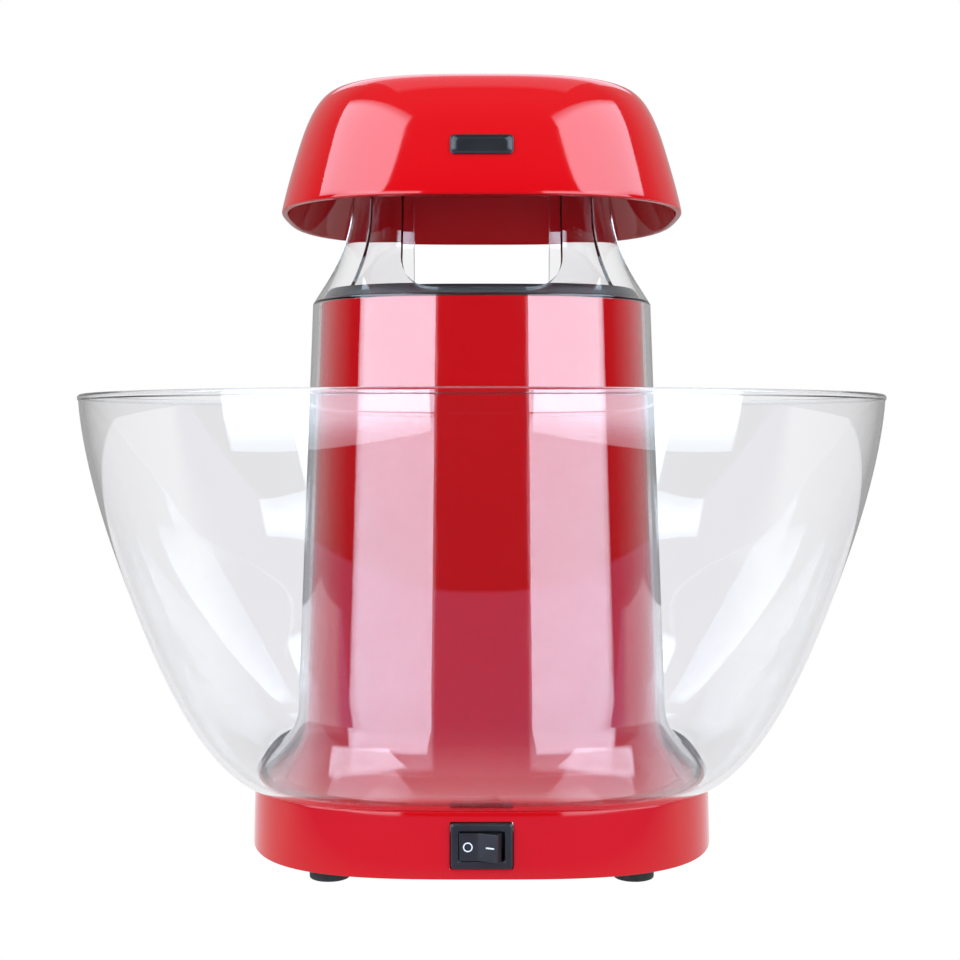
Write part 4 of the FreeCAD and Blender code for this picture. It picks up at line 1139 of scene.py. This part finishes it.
@dataclass
class Tower(SubAssembly):
    """The red tower with the black collar and the chamber that hangs in it. Millimetres."""

    flare_half: float = 76.0
    foot_half: float = 66.9
    top_half: float = 61.6
    flare_height: float = 24.0
    power: float = 2.7
    wall: float = 2.2
    chamber_radius: float = 49.0
    chamber_wall: float = 1.0
    flange: float = 3.5
    louvres: int = 20

    def build(self) -> None:
        """See SubAssembly."""
        self.add(self.housing(), "red_gloss_plastic", "tower_housing")
        self.add(self.collar(), "black_plastic", "chamber_collar")
        self.add(self.chamber(), "aluminium", "popping_chamber")
        self.add(self.louvre_ring(), "aluminium")

    def half_at(self, z: float) -> float:
        """Outer half-width of the tower at a height.

        Args:
            z: Height in millimetres.

        Returns:
            Half the width in millimetres.
        """
        low, high = foot_of("tower_housing"), top_of("tower_housing")
        knee = low + self.flare_height
        if z >= knee:
            return self.foot_half + (self.top_half - self.foot_half) * (z - knee) / (high - knee)
        return self.foot_half + (self.flare_half - self.foot_half) * (1 - (z - low) / self.flare_height) ** 2

    def housing(self) -> bpy.types.Object:
        """The tower's wall, with a softly rounded top edge.

        Returns:
            The tower's wall.
        """
        low, high = foot_of("tower_housing"), top_of("tower_housing")
        levels = [*np.linspace(low, low + self.flare_height, 26),
                  *np.linspace(low + self.flare_height, high - 0.9, 12)[1:]]
        rows = [(float(z), self.half_at(z), self.power) for z in levels]
        for degrees in (22, 45, 68, 90):
            turn = math.radians(degrees)
            rows.append((high - 0.9 + 0.9 * math.sin(turn), self.top_half - 0.9 + 0.9 * math.cos(turn),
                         self.power))
        obj = make_object("tower_wall", ring_loft([squircle(r, even_angles(288)) for r in rows]),
                          Finishes.RED.material())
        finish_edges(obj, wall=self.wall, edge=0.25)
        return obj

    def collar(self) -> bpy.types.Object:
        """The ring on the tower's top: bevelled outside, rebated inside for the flange.

        Returns:
            The black ring.
        """
        z, high, low = top_of("tower_housing"), top_of("chamber_collar"), foot_of("chamber_collar")
        half, seat, bore = self.top_half, self.chamber_radius + self.flange + 0.3, self.chamber_radius + 0.3
        skirt = half - self.wall - 0.3
        p = self.power
        rows = [(low, skirt - 0.3, p), (low + 0.5, skirt, p), (z, skirt, p), (z, half - 0.2, p),
                (z + 0.3, half - 0.15, p), (z + 1.9, half - 0.9, p), (z + 3.2, half - 1.7, p),
                (high - 0.2, half - 2.1, p), (high, half - 2.5, p), (high, seat + 0.3, 2.0),
                (high - 0.2, seat, 2.0), (high - 1.0, seat, 2.0), (high - 1.0, bore + 0.2, 2.0),
                (high - 1.3, bore, 2.0), (z, bore, 2.0), (z, skirt - 2.0, p), (low, skirt - 2.0, p)]
        rings = [squircle(r, even_angles(240)) for r in rows]
        obj = make_object("chamber_collar_ring", ring_loft(rings, looped=True), Finishes.COLLAR.material())
        finish_edges(obj, edge=0.12, limit=40)
        return obj

    def chamber(self) -> bpy.types.Object:
        """The cup: a domed floor, a rounded heel, a straight wall and a rolled flange.

        Returns:
            The cup, as one closed shell.
        """
        r, w, flange = self.chamber_radius, self.chamber_wall, self.chamber_radius + self.flange
        low, high = foot_of("popping_chamber"), top_of("popping_chamber")
        outer = [(0.0, low + 3.0), (r * 0.25, low + 2.8), (r * 0.5, low + 1.9), (r * 0.72, low + 0.7),
                 (r - 7, low)]
        for degrees in (15, 30, 45, 60, 75, 90):
            turn = math.radians(degrees)
            outer.append((r - 6 + 6 * math.sin(turn), low + 6 - 6 * math.cos(turn)))
        outer += [(r, low + 30), (r, high - w - 0.5), (r + 0.4, high - w), (flange - 0.6, high - w),
                  (flange, high - w + 0.3)]
        inner = [(flange - 0.1, high - 0.25), (flange - 0.7, high), (r + 0.6, high),
                 (r - w + 0.3, high - 0.4), (r - w, high - 1.2), (r - w, low + 30)]
        for degrees in (90, 75, 60, 45, 30, 15):
            turn = math.radians(degrees)
            inner.append((r - 6 + (6 - w) * math.sin(turn), low + 6 - (6 - w) * math.cos(turn)))
        inner += [(r - 7, low + w), (r * 0.72, low + 0.7 + w), (r * 0.5, low + 1.9 + w),
                  (r * 0.25, low + 2.8 + w), (0.0, low + 3.0 + w)]
        return make_object("chamber_cup", lathe(outer + inner, 160, looped=False),
                           Finishes.ALUMINIUM.material())

    def louvre_ring(self) -> bpy.types.Object:
        """Slanting hoods pressed inwards round the cup's lower wall, where the hot air enters.

        Returns:
            All the hoods as one mesh.
        """
        length, drop, lift = 12.0, 4.2, 1.5
        along = np.linspace(-1, 1, 17)
        rings = []
        for s in np.linspace(-1, 1, 9):
            hump = lift * math.cos(s * math.pi / 2) ** 0.8 if abs(s) < 1 else 0.0
            rings.append(np.array([(-hump * max(0.0, 1 - t * t) ** 0.7, s * drop / 2, t * length / 2)
                                   for t in along]))
        points = [tuple(p) for ring in rings for p in ring]
        count = len(along)
        faces = [(i * count + j, (i + 1) * count + j, (i + 1) * count + j + 1, i * count + j + 1)
                 for i in range(len(rings) - 1) for j in range(count - 1)]
        rim = [*range(count), *(i * count + count - 1 for i in range(1, len(rings))),
               *((len(rings) - 1) * count + j for j in range(count - 2, -1, -1)),
               *(i * count for i in range(len(rings) - 2, 0, -1))]
        back = [(0.6, points[i][1], points[i][2]) for i in rim]
        start = len(points)
        points += back
        points.append((0.6, 0.0, 0.0))
        for k, i in enumerate(rim):
            j = (k + 1) % len(rim)
            faces.append((i, rim[j], start + j, start + k))
            faces.append((start + k, start + j, len(points) - 1))
        slant = Matrix.Rotation(math.radians(28), 4, "X")
        grid = placed((points, faces), slant)
        height = foot_of("popping_chamber") + 13.0
        obj = Repeater(Pattern.RING).make("chamber_louvres", grid, Finishes.ALUMINIUM, Count=self.louvres,
                                          Radius=(self.chamber_radius - self.chamber_wall) * MM,
                                          Height=height * MM, First_turn=0.0)
        outward(obj)
        return obj


def outward(obj: bpy.types.Object) -> None:
    """Points the faces of a closed mesh outwards.

    Args:
        obj: The piece. Its doubles are merged first.
    """
    mesh = bmesh.new()
    mesh.from_mesh(obj.data)
    bmesh.ops.remove_doubles(mesh, verts=mesh.verts, dist=1e-6)
    bmesh.ops.recalc_face_normals(mesh, faces=mesh.faces)
    mesh.to_mesh(obj.data)
    mesh.free()


@dataclass
class ClearBowl(SubAssembly):
    """The clear bowl with the clear chimney bonded to its floor. Millimetres."""

    foot_half: float = 85.3
    rim_half: float = 152.65
    foot_power: float = 3.2
    lean: float = 1.48
    round_off: float = 0.68
    wall: float = 2.0
    bead: float = 1.35
    floor: float = 1.6
    floor_width: float = 5.8
    sleeve_wall: float = 1.8
    sleeve_foot: float = 83.2
    sleeve_gap: float = 3.0
    tower_power: float = 2.7
    flare_height: float = 24.0
    neck_half: float = 52.0
    crown_half: float = 51.4
    shoulder_drop: float = 0.5
    neck_rise: float = 40.0
    window_width: float = 57.6
    window_corner: float = 11.5
    window_sill: float = 2.4
    crown_ring: float = 7.0

    def build(self) -> None:
        """See SubAssembly."""
        self.add(self.bowl(), "clear_plastic", "bowl")
        self.add(self.chimney(), "clear_plastic", "chimney")

    def bowl(self) -> bpy.types.Object:
        """The bowl as one closed profile: floor, wall, beaded rim and the wall's inside.

        Returns:
            The bowl, as one closed shell.
        """
        low, high = foot_of("bowl"), top_of("bowl")
        rise = high - low
        outer: list[Row] = []
        for s in np.linspace(0, 1, 64):
            share = float(s) ** 1.7 * (1 - self.bead * 1.2 / rise)
            swell = (1 - (1 - share) ** self.lean) ** self.round_off
            half = self.foot_half + (self.rim_half - self.foot_half) * swell
            power = 2 + (self.foot_power - 2) * (1 - min(1.0, share / 0.6)) ** 2
            outer.append((low + rise * share, half, power))
        inner = offset_inward(outer, self.wall)
        top = low + self.floor
        inner = [row for row in inner if row[0] > top + 0.5 and row[1] > self.sleeve_foot]
        bead = []
        centre = (self.rim_half - self.wall / 2, high - self.bead)
        for degrees in range(-40, 221, 20):
            turn = math.radians(degrees)
            bead.append((centre[1] + self.bead * math.sin(turn), centre[0] + self.bead * math.cos(turn), 2.0))
        p = self.foot_power
        inside = self.foot_half - self.floor_width
        lip: list[Row] = [(low, inside + 0.3, p), (low, self.foot_half - 0.4, p)]
        closing: list[Row] = [(top, self.sleeve_foot + 0.05, p), (top, inside + 0.3, p),
                              (top - 0.3, inside, p), (low + 0.3, inside, p)]
        rows = lip + outer[1:] + bead + inner[::-1] + closing
        obj = make_object("catch_bowl", ring_loft([squircle(r, even_angles(288)) for r in rows], looped=True),
                          Finishes.CLEAR.material())
        finish_edges(obj, edge=0.1, limit=60)
        return obj

    def half_at(self, z: float) -> tuple[float, float]:
        """Outer half-width and power of the chimney at a height.

        Args:
            z: Height in millimetres.

        Returns:
            Half the width in millimetres, and the power.
        """
        tower = Tower("base")
        low, knee = foot_of("chimney"), foot_of("tower_housing") + self.flare_height
        shoulder = top_of("tower_housing") - self.shoulder_drop
        if z < knee:
            share = (z - low) / (knee - low)
            end = tower.foot_half + self.sleeve_gap
            return (end + (self.sleeve_foot - end) * (1 - share) ** 2,
                    self.foot_power + (self.tower_power - self.foot_power) * share)
        if z <= shoulder:
            return tower.half_at(z) + self.sleeve_gap, self.tower_power
        neck = shoulder + self.neck_rise
        start = tower.half_at(shoulder) + self.sleeve_gap
        if z < neck:
            share = (z - shoulder) / self.neck_rise
            return self.neck_half + (start - self.neck_half) * (1 - share) ** 2, self.tower_power
        share = (z - neck) / (top_of("chimney") - neck)
        return self.neck_half + (self.crown_half - self.neck_half) * share, self.tower_power

    def window_reach(self, z: float, sill: float, head: float) -> float:
        """Half the width of a window at a height, narrower in its rounded corners.

        Args:
            z: Height in millimetres.
            sill: Height of the window's lower edge.
            head: Height of the window's upper edge.

        Returns:
            Half the width in millimetres.
        """
        for radius, depth in ((self.window_corner, z - sill), (3.0, head - z)):
            if depth < radius:
                bend = math.sqrt(max(0.0, radius ** 2 - (radius - depth) ** 2))
                return self.window_width / 2 - radius + bend
        return self.window_width / 2

    def columns(self, z: float, reach: float, across: int, leg: int) -> np.ndarray:
        """Angles of one row: across each window, then across each leg between windows.

        Args:
            z: Height of the row.
            reach: Half the width of a window at that height.
            across: Faces across a window.
            leg: Faces across a leg.

        Returns:
            Polar angles in radians, counter-clockwise.
        """
        half, power = self.half_at(z)
        depth = (max(half ** power - reach ** power, 0.01)) ** (1 / power)
        side = math.atan(reach / depth)
        quarter = [*np.linspace(-side, side, across + 1)[:-1],
                   *np.linspace(side, math.pi / 2 - side, leg + 1)[:-1]]
        return np.concatenate([np.array(quarter) + i * math.pi / 2 for i in range(4)])

    def chimney(self) -> bpy.types.Object:
        """The sleeve: skirt, long taper, shoulder, four legs between windows, and a top ring.

        Returns:
            The sleeve, with its wall.
        """
        across, leg = 18, 44
        low, high = foot_of("chimney"), top_of("chimney")
        knee = foot_of("tower_housing") + self.flare_height
        shoulder = top_of("tower_housing") - self.shoulder_drop
        sill = top_of("tower_housing") + self.window_sill
        head = high - self.crown_ring
        below = [*np.linspace(low, knee, 22), *np.linspace(knee, shoulder, 12)[1:],
                 *np.linspace(shoulder, sill, 5)[1:]]
        corner = [sill + self.window_corner * (1 - math.cos(t)) for t in np.linspace(0, math.pi / 2, 10)[1:]]
        upper = [head - 3.0 * (1 - math.cos(t)) for t in np.linspace(math.pi / 2, 0, 6)]
        beside = [*corner, *np.linspace(corner[-1], upper[0], 16)[1:-1], *upper[:-1]]
        above = np.linspace(head, high, 4)
        points: list[tuple[float, float, float]] = []
        rings: list[list[int]] = []
        levels = [(z, self.window_reach(sill, sill, head)) for z in below]
        levels += [(z, self.window_reach(z, sill, head)) for z in beside]
        levels += [(z, self.window_reach(head, sill, head)) for z in above]
        for z, reach in levels:
            half, power = self.half_at(float(z))
            ring = squircle((float(z), half, power), self.columns(float(z), reach, across, leg))
            rings.append(list(range(len(points), len(points) + len(ring))))
            points += [tuple(float(v) for v in p) for p in ring]
        count, faces = len(rings[0]), []
        first, last = len(below) - 1, len(below) + len(beside)
        for i in range(len(rings) - 1):
            open_row = first <= i < last
            for j in range(count):
                if open_row and j % (across + leg) < across:
                    continue
                k = (j + 1) % count
                faces.append((rings[i][j], rings[i][k], rings[i + 1][k], rings[i + 1][j]))
        used = sorted({i for face in faces for i in face})
        renumber = {old: new for new, old in enumerate(used)}
        grid = ([points[i] for i in used], [tuple(renumber[i] for i in face) for face in faces])
        obj = make_object("clear_chimney", grid, Finishes.CLEAR.material())
        finish_edges(obj, wall=self.sleeve_wall, edge=0.4, segments=3)
        return obj


@dataclass
class Dome(SubAssembly):
    """The red dome with its inner collar and a plain badge. Millimetres."""

    half: float = 75.9
    draft: float = 6.1
    shoulder: float = 23.8
    crown_half: float = 54.0
    crown_curve: float = 2.5
    power: float = 2.9
    wall: float = 2.2
    collar_inside: float = 52.2
    collar_wall: float = 2.0
    collar_power: float = 2.7
    crown_rise: float = 0.3
    badge_width: float = 22.0
    badge_height: float = 7.2
    badge_lift: float = 0.6

    def build(self) -> None:
        """See SubAssembly."""
        self.add(self.cap(), "red_gloss_plastic", "dome")
        self.add(self.collar(), "red_gloss_plastic", "dome")
        self.add(self.badge(), "badge_plastic", "badge")

    def rows(self) -> list[Row]:
        """The dome's outside from its rim to its middle.

        Returns:
            Rows of height, half-width and power.
        """
        low, high = foot_of("dome"), top_of("dome") - self.crown_rise
        rows = [(z, self.side(z), self.power) for z in low + self.shoulder * np.linspace(0, 1, 18)]
        wide, knee = self.half - self.draft, low + self.shoulder
        for part in 1 - np.linspace(0, 1, 27)[1:] ** 1.2:
            rows.append((knee + (high - knee) * (1 - part ** self.crown_curve),
                         self.crown_half + (wide - self.crown_half) * part, self.power))
        for half in (46.0, 36.0, 26.0, 17.0, 9.0, 4.0, 0.001):
            rows.append((high + self.crown_rise * (1 - (half / self.crown_half) ** 2), half,
                         2.0 + (self.power - 2.0) * half / self.crown_half))
        return [(float(z), float(half), float(power)) for z, half, power in rows]

    def side(self, z: float) -> float:
        """Outer half-width of the dome's side wall at a height."""
        return self.half - self.draft * max(0.0, (z - foot_of("dome")) / self.shoulder) ** 1.15

    def cap(self) -> bpy.types.Object:
        """The cap: one skin from its rim over the crown, with its wall.

        Returns:
            The cap, with its wall.
        """
        outer, count = self.rows(), 288
        rings = [squircle(r, even_angles(count)) for r in outer]
        points, faces = ring_loft(rings[:-1])
        points.append((0.0, 0.0, outer[-1][0]))
        last, tip = (len(rings) - 2) * count, len(points) - 1
        faces += [(last + j, last + (j + 1) % count, tip) for j in range(count)]
        skin = make_object("dome_cap", (points, faces), Finishes.RED.material())
        finish_edges(skin, wall=self.wall, edge=0.6, segments=3)
        return skin

    def collar(self) -> bpy.types.Object:
        """The ring inside the cap that drops over the chimney's top and stands on it.

        Returns:
            The ring, as one closed shell.
        """
        inside, wide, p = self.collar_inside, self.collar_inside + self.collar_wall, self.collar_power
        crown, under = top_of("chimney"), top_of("dome") - self.wall / 2 - 0.8
        start = crown - 5.0
        rows: list[Row] = [(start, inside + 0.5, p), (start + 0.1, wide - 0.3, p), (start + 0.5, wide, p),
                           (under, wide, p), (under, inside, p), (crown + 2.5, inside, p),
                           (crown + 2.5, inside - 3.0, p), (crown, inside - 3.0, p), (crown, inside, p),
                           (start + 0.7, inside, p)]
        rings = [squircle(r, even_angles(192)) for r in rows]
        return make_object("dome_collar", ring_loft(rings, looped=True), Finishes.RED.material())

    def badge(self) -> bpy.types.Object:
        """A plain raised plate with a rounded border, following the dome's front.

        Returns:
            The plate, with nothing printed on it.
        """
        low, high = box_of("badge")
        centre = (low[2] + high[2]) / 2
        rings, wide, tall = [], self.badge_width, self.badge_height
        for width, height, lift in ((wide, tall, -0.3), (wide, tall, 0.35),
                                    (wide - 0.3, tall - 0.3, self.badge_lift),
                                    (wide - 1.1, tall - 1.1, self.badge_lift),
                                    (wide - 1.4, tall - 1.4, 0.3), (wide - 6.0, tall - 3.6, 0.3),
                                    (wide - 14.0, tall - 5.8, 0.3)):
            outline = rounded_rectangle(width, height, min(1.6, height / 2 - 0.05), 6)
            ring = []
            for x, dz in outline:
                z = centre + dz
                depth = (self.side(z) ** self.power - abs(x) ** self.power) ** (1 / self.power)
                ring.append((x, -depth - lift, z))
            rings.append(np.array(ring))
        return make_object("plain_badge", ring_loft(rings, capped=True), Finishes.BADGE.material())


@dataclass
class Workings(SubAssembly):
    """The heater, fan, motor and wiring: carried over from the CAD with finishes of their own."""

    finishes: dict[str, Finish] = field(default_factory=lambda: {
        "bottom_plate": Finishes.PLATE, "heater_can": Finishes.CAN, "mica_cross": Finishes.MICA,
        "thermostat": Finishes.CERAMIC, "thermal_fuse": Finishes.ZINC, "fan_case": Finishes.PLATE,
        "impeller": Finishes.PLATE, "motor_shaft": Finishes.CAN, "shaft_nut": Finishes.ZINC,
        "motor_can": Finishes.CAN, "motor_magnet": Finishes.FERRITE, "motor_rotor": Finishes.ROTOR,
        "motor_end_cap": Finishes.PLATE, "rectifier_board": Finishes.BOARD,
        "switch_terminals": Finishes.BRASS, "inner_leads": Finishes.SHEATH, "tower_screws": Finishes.ZINC,
        "fan_case_screws": Finishes.ZINC, "motor_screws": Finishes.ZINC})
    wire: float = 0.6
    bend: float = 2.0
    turns: float = 6.75

    def build(self) -> None:
        """See SubAssembly."""
        for node, finish in self.finishes.items():
            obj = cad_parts[node]
            for slot in obj.material_slots:
                slot.material = finish.material()
            LOG.info("%s: finished as %s", node, finish.name)
        self.add(self.winding(), "resistance_wire", "heating_coil")

    def winding(self) -> bpy.types.Object:
        """The resistance wire round the mica boards.

        Returns:
            The wound wire.
        """
        low, high = box_of("heating_coil")
        return WindingTree().make("wound_heating_wire", Finishes.WIRE, Turns=self.turns, Wire=self.wire * MM,
                                  Reach=(high[0] - self.wire) * MM, Bend=self.bend * MM,
                                  Rise=(high[2] - low[2] - 2 * self.wire) * MM,
                                  Height=(low[2] + self.wire) * MM)


# ---------------------------------------------------------------- studio
def seen_directly(tree: bpy.types.NodeTree) -> bpy.types.NodeSocket:
    """Adds nodes that give 1 to what is seen straight on or through clear plastic, and 0 to the rest.

    Args:
        tree: The node tree to add to.

    Returns:
        The output with the 1 or 0.
    """
    ray = add_node(tree, "ShaderNodeLightPath")
    bounces = add_node(tree, "ShaderNodeMath", {0: ray.outputs["Glossy Depth"],
                                                1: ray.outputs["Diffuse Depth"]},
                       operation="ADD")
    return add_node(tree, "ShaderNodeMath", {0: bounces.outputs[0], 1: 0.5}, operation="LESS_THAN").outputs[0]


class SoftboxSide(Enum):
    """Which side of the camera a tall softbox stands on."""

    LEFT = -1
    RIGHT = 1


@dataclass
class Studio:
    """Camera, lights, floor and surroundings. Metres."""

    camera_distance: float = 0.618
    camera_height: float = 0.160
    lens: float = 59.44
    shift: tuple[float, float] = (-0.0018, -0.0552)
    box_distance: float = 1.25
    box_angle: float = 41.0
    box_rise: float = 0.33
    box_size: tuple[float, float] = (1.34, 1.15)
    box_glow: float = 5.2
    upper_distance: float = 1.4
    upper_angle: float = 62.0
    upper_rise: float = 1.36
    upper_size: tuple[float, float] = (1.75, 0.95)
    upper_glow: float = 6.0
    floor_front: float = -0.245
    room_light: float = 0.035
    backdrop_light: float = 0.45
    table_shade: str = "#9A90BE"
    table_rear_shade: str = "#F4F4F6"
    table_dimming: tuple[float, float] = (-0.14, -0.06)
    backdrop_band: tuple[float, float] = (-0.15, 0.5)
    overhead_band: tuple[float, float] = (0.5, 0.85)
    overhead_light: float = 0.25
    light_colour: Row = (0.72, 0.85, 1.0)
    fade_share: float = 0.16
    fade_floor: float = 0.35

    def build(self) -> None:
        """Builds everything that isn't the object."""
        self.camera()
        for side in SoftboxSide:
            self.softbox(side)
        self.top_light()
        self.floor()
        self.surroundings()

    def camera(self) -> None:
        """A level camera in front, shifted to frame the object."""
        data = bpy.data.cameras.new("camera")
        data.lens, data.sensor_width = self.lens, 36.0
        data.shift_x, data.shift_y = self.shift
        camera = bpy.data.objects.new("camera", data)
        camera.location = (0.0, -self.camera_distance, self.camera_height)
        camera.rotation_euler = (math.pi / 2, 0.0, 0.0)
        bpy.context.scene.collection.objects.link(camera)
        bpy.context.scene.camera = camera

    def area(self, name: str, place: Vector, aim: Vector, size: tuple[float, float], glow: float) -> None:
        """Adds one rectangular soft light, dimmer towards its top and bottom edges.

        Args:
            name: The light's name.
            place: Where its middle is.
            aim: The point it faces.
            size: Its width and height.
            glow: The brightness of its face, where 1 is white.
        """
        data = bpy.data.lights.new(name, "AREA")
        data.shape, data.size, data.size_y = "RECTANGLE", size[0], size[1]
        data.energy = glow * math.pi * size[0] * size[1]
        data.color = self.light_colour
        data.use_nodes = True
        tree = data.node_tree
        tree.nodes.clear()
        across = add_node(tree, "ShaderNodeSeparateXYZ",
                          {0: add_node(tree, "ShaderNodeNewGeometry").outputs["Parametric"]})
        low, high = [add_node(tree, "ShaderNodeMapRange",
                              {"Value": across.outputs[1], "From Min": edge, "From Max": inner,
                               "To Min": self.fade_floor}, interpolation_type="SMOOTHSTEP")
                     for edge, inner in ((0.0, self.fade_share), (1.0, 1.0 - self.fade_share))]
        fade = add_node(tree, "ShaderNodeMath", {0: low.outputs[0], 1: high.outputs[0]}, operation="MULTIPLY")
        face = add_node(tree, "ShaderNodeEmission", {"Strength": fade.outputs[0]})
        add_node(tree, "ShaderNodeOutputLight", {"Surface": face.outputs[0]})
        light = bpy.data.objects.new(name, data)
        light.location = place
        light.rotation_euler = (aim - place).to_track_quat("-Z", "Y").to_euler()
        light.visible_camera = False
        bpy.context.scene.collection.objects.link(light)

    def softbox(self, side: SoftboxSide) -> None:
        """A wide softbox beside the camera and a brighter one above it.

        Args:
            side: Which side of the camera.
        """
        low = (self.box_distance, self.box_angle, self.box_rise, self.box_size, self.box_glow)
        high = (self.upper_distance, self.upper_angle, self.upper_rise, self.upper_size, self.upper_glow)
        for name, (away, angle, rise, size, glow) in (("low", low), ("high", high)):
            turn = math.radians(angle)
            place = Vector((side.value * away * math.sin(turn), -away * math.cos(turn), rise))
            aim = Vector((0.0, 0.0, 0.2)) if name == "high" else Vector((0.0, 0.0, rise))
            self.area(f"softbox_{name}_{side.name.lower()}", place, aim, size, glow)

    def top_light(self) -> None:
        """Wide, weak lights overhead and high up behind."""
        self.area("behind", Vector((0, 1.1, 1.5)), Vector((0, 0, 0.15)), (1.6, 1.0), 2.2)
        self.area("overhead", Vector((0, 0.1, 1.7)), Vector((0, 0, 0.15)), (1.2, 1.2), 0.8)

    def floor(self) -> None:
        """A light table that ends a little in front of the object and is dimmer at its front edge."""
        sides = ((-1.6, self.floor_front), (1.6, self.floor_front), (1.6, 0.8), (-1.6, 0.8))
        grid = ([(x / MM, y / MM, 0.0) for x, y in sides], [(0, 1, 2, 3)])
        table = bpy.data.materials.new("white_table")
        table.use_nodes = True
        tree = table.node_tree
        tree.nodes.clear()
        place = add_node(tree, "ShaderNodeTexCoord").outputs["Object"]
        axes = add_node(tree, "ShaderNodeSeparateXYZ", {0: place})
        back = add_node(tree, "ShaderNodeMapRange", {"Value": axes.outputs[1],
                                                     "From Min": self.table_dimming[0],
                                                     "From Max": self.table_dimming[1]})
        shade = add_node(tree, "ShaderNodeMix", {0: back.outputs[0], 6: linear(self.table_shade),
                                                 7: linear(self.table_rear_shade)}, data_type="RGBA")
        shade = add_node(tree, "ShaderNodeMix", {0: seen_directly(tree), 6: shade.outputs[2],
                                                 7: linear("#FFFFFF")}, data_type="RGBA")
        glow = add_node(tree, "ShaderNodeEmission", {"Color": shade.outputs[2], "Strength": 1.0})
        under = add_node(tree, "ShaderNodeNewGeometry").outputs["Backfacing"]
        clear = add_node(tree, "ShaderNodeBsdfTransparent")
        both = add_node(tree, "ShaderNodeMixShader", {0: under, 1: glow.outputs[0], 2: clear.outputs[0]})
        add_node(tree, "ShaderNodeOutputMaterial", {"Surface": both.outputs[0]})
        make_object("table_top", grid, table)

    def surroundings(self) -> None:
        """White behind the object, dim behind the camera, and a little light overhead."""
        scene = bpy.context.scene
        scene.view_settings.view_transform = "Standard"
        world = bpy.data.worlds.new("studio")
        world.use_nodes = True
        scene.world = world
        tree = world.node_tree
        tree.nodes.clear()
        view = add_node(tree, "ShaderNodeTexCoord").outputs["Generated"]
        way = add_node(tree, "ShaderNodeSeparateXYZ", {0: view})
        back = add_node(tree, "ShaderNodeMapRange", {"Value": way.outputs[1],
                                                     "From Min": self.backdrop_band[0],
                                                     "From Max": self.backdrop_band[1],
                                                     "To Min": self.room_light,
                                                     "To Max": self.backdrop_light})
        above = add_node(tree, "ShaderNodeMapRange", {"Value": way.outputs[2],
                                                      "From Min": self.overhead_band[0],
                                                      "From Max": self.overhead_band[1],
                                                      "To Max": self.overhead_light})
        level = add_node(tree, "ShaderNodeMath", {0: back.outputs[0], 1: above.outputs[0]},
                         operation="MAXIMUM")
        level = add_node(tree, "ShaderNodeMath", {0: level.outputs[0], 1: seen_directly(tree)},
                         operation="MAXIMUM")
        light = add_node(tree, "ShaderNodeBackground", {"Color": linear("#FFFFFF"),
                                                        "Strength": level.outputs[0]})
        add_node(tree, "ShaderNodeOutputWorld", {"Surface": light.outputs[0]})


def main() -> None:
    """Builds the studio and every sub-assembly."""
    logging.basicConfig(level=logging.INFO, format="%(asctime)s %(name)s: %(message)s")
    Studio().build()
    groups: list[SubAssembly] = [BaseUnit("base"), RockerSwitch("base"), Tower("base"), ClearBowl("bowl"),
                                 Dome("dome"), Workings("base")]
    for group in groups:
        group.build()


if __name__ == "__main__":
    main()
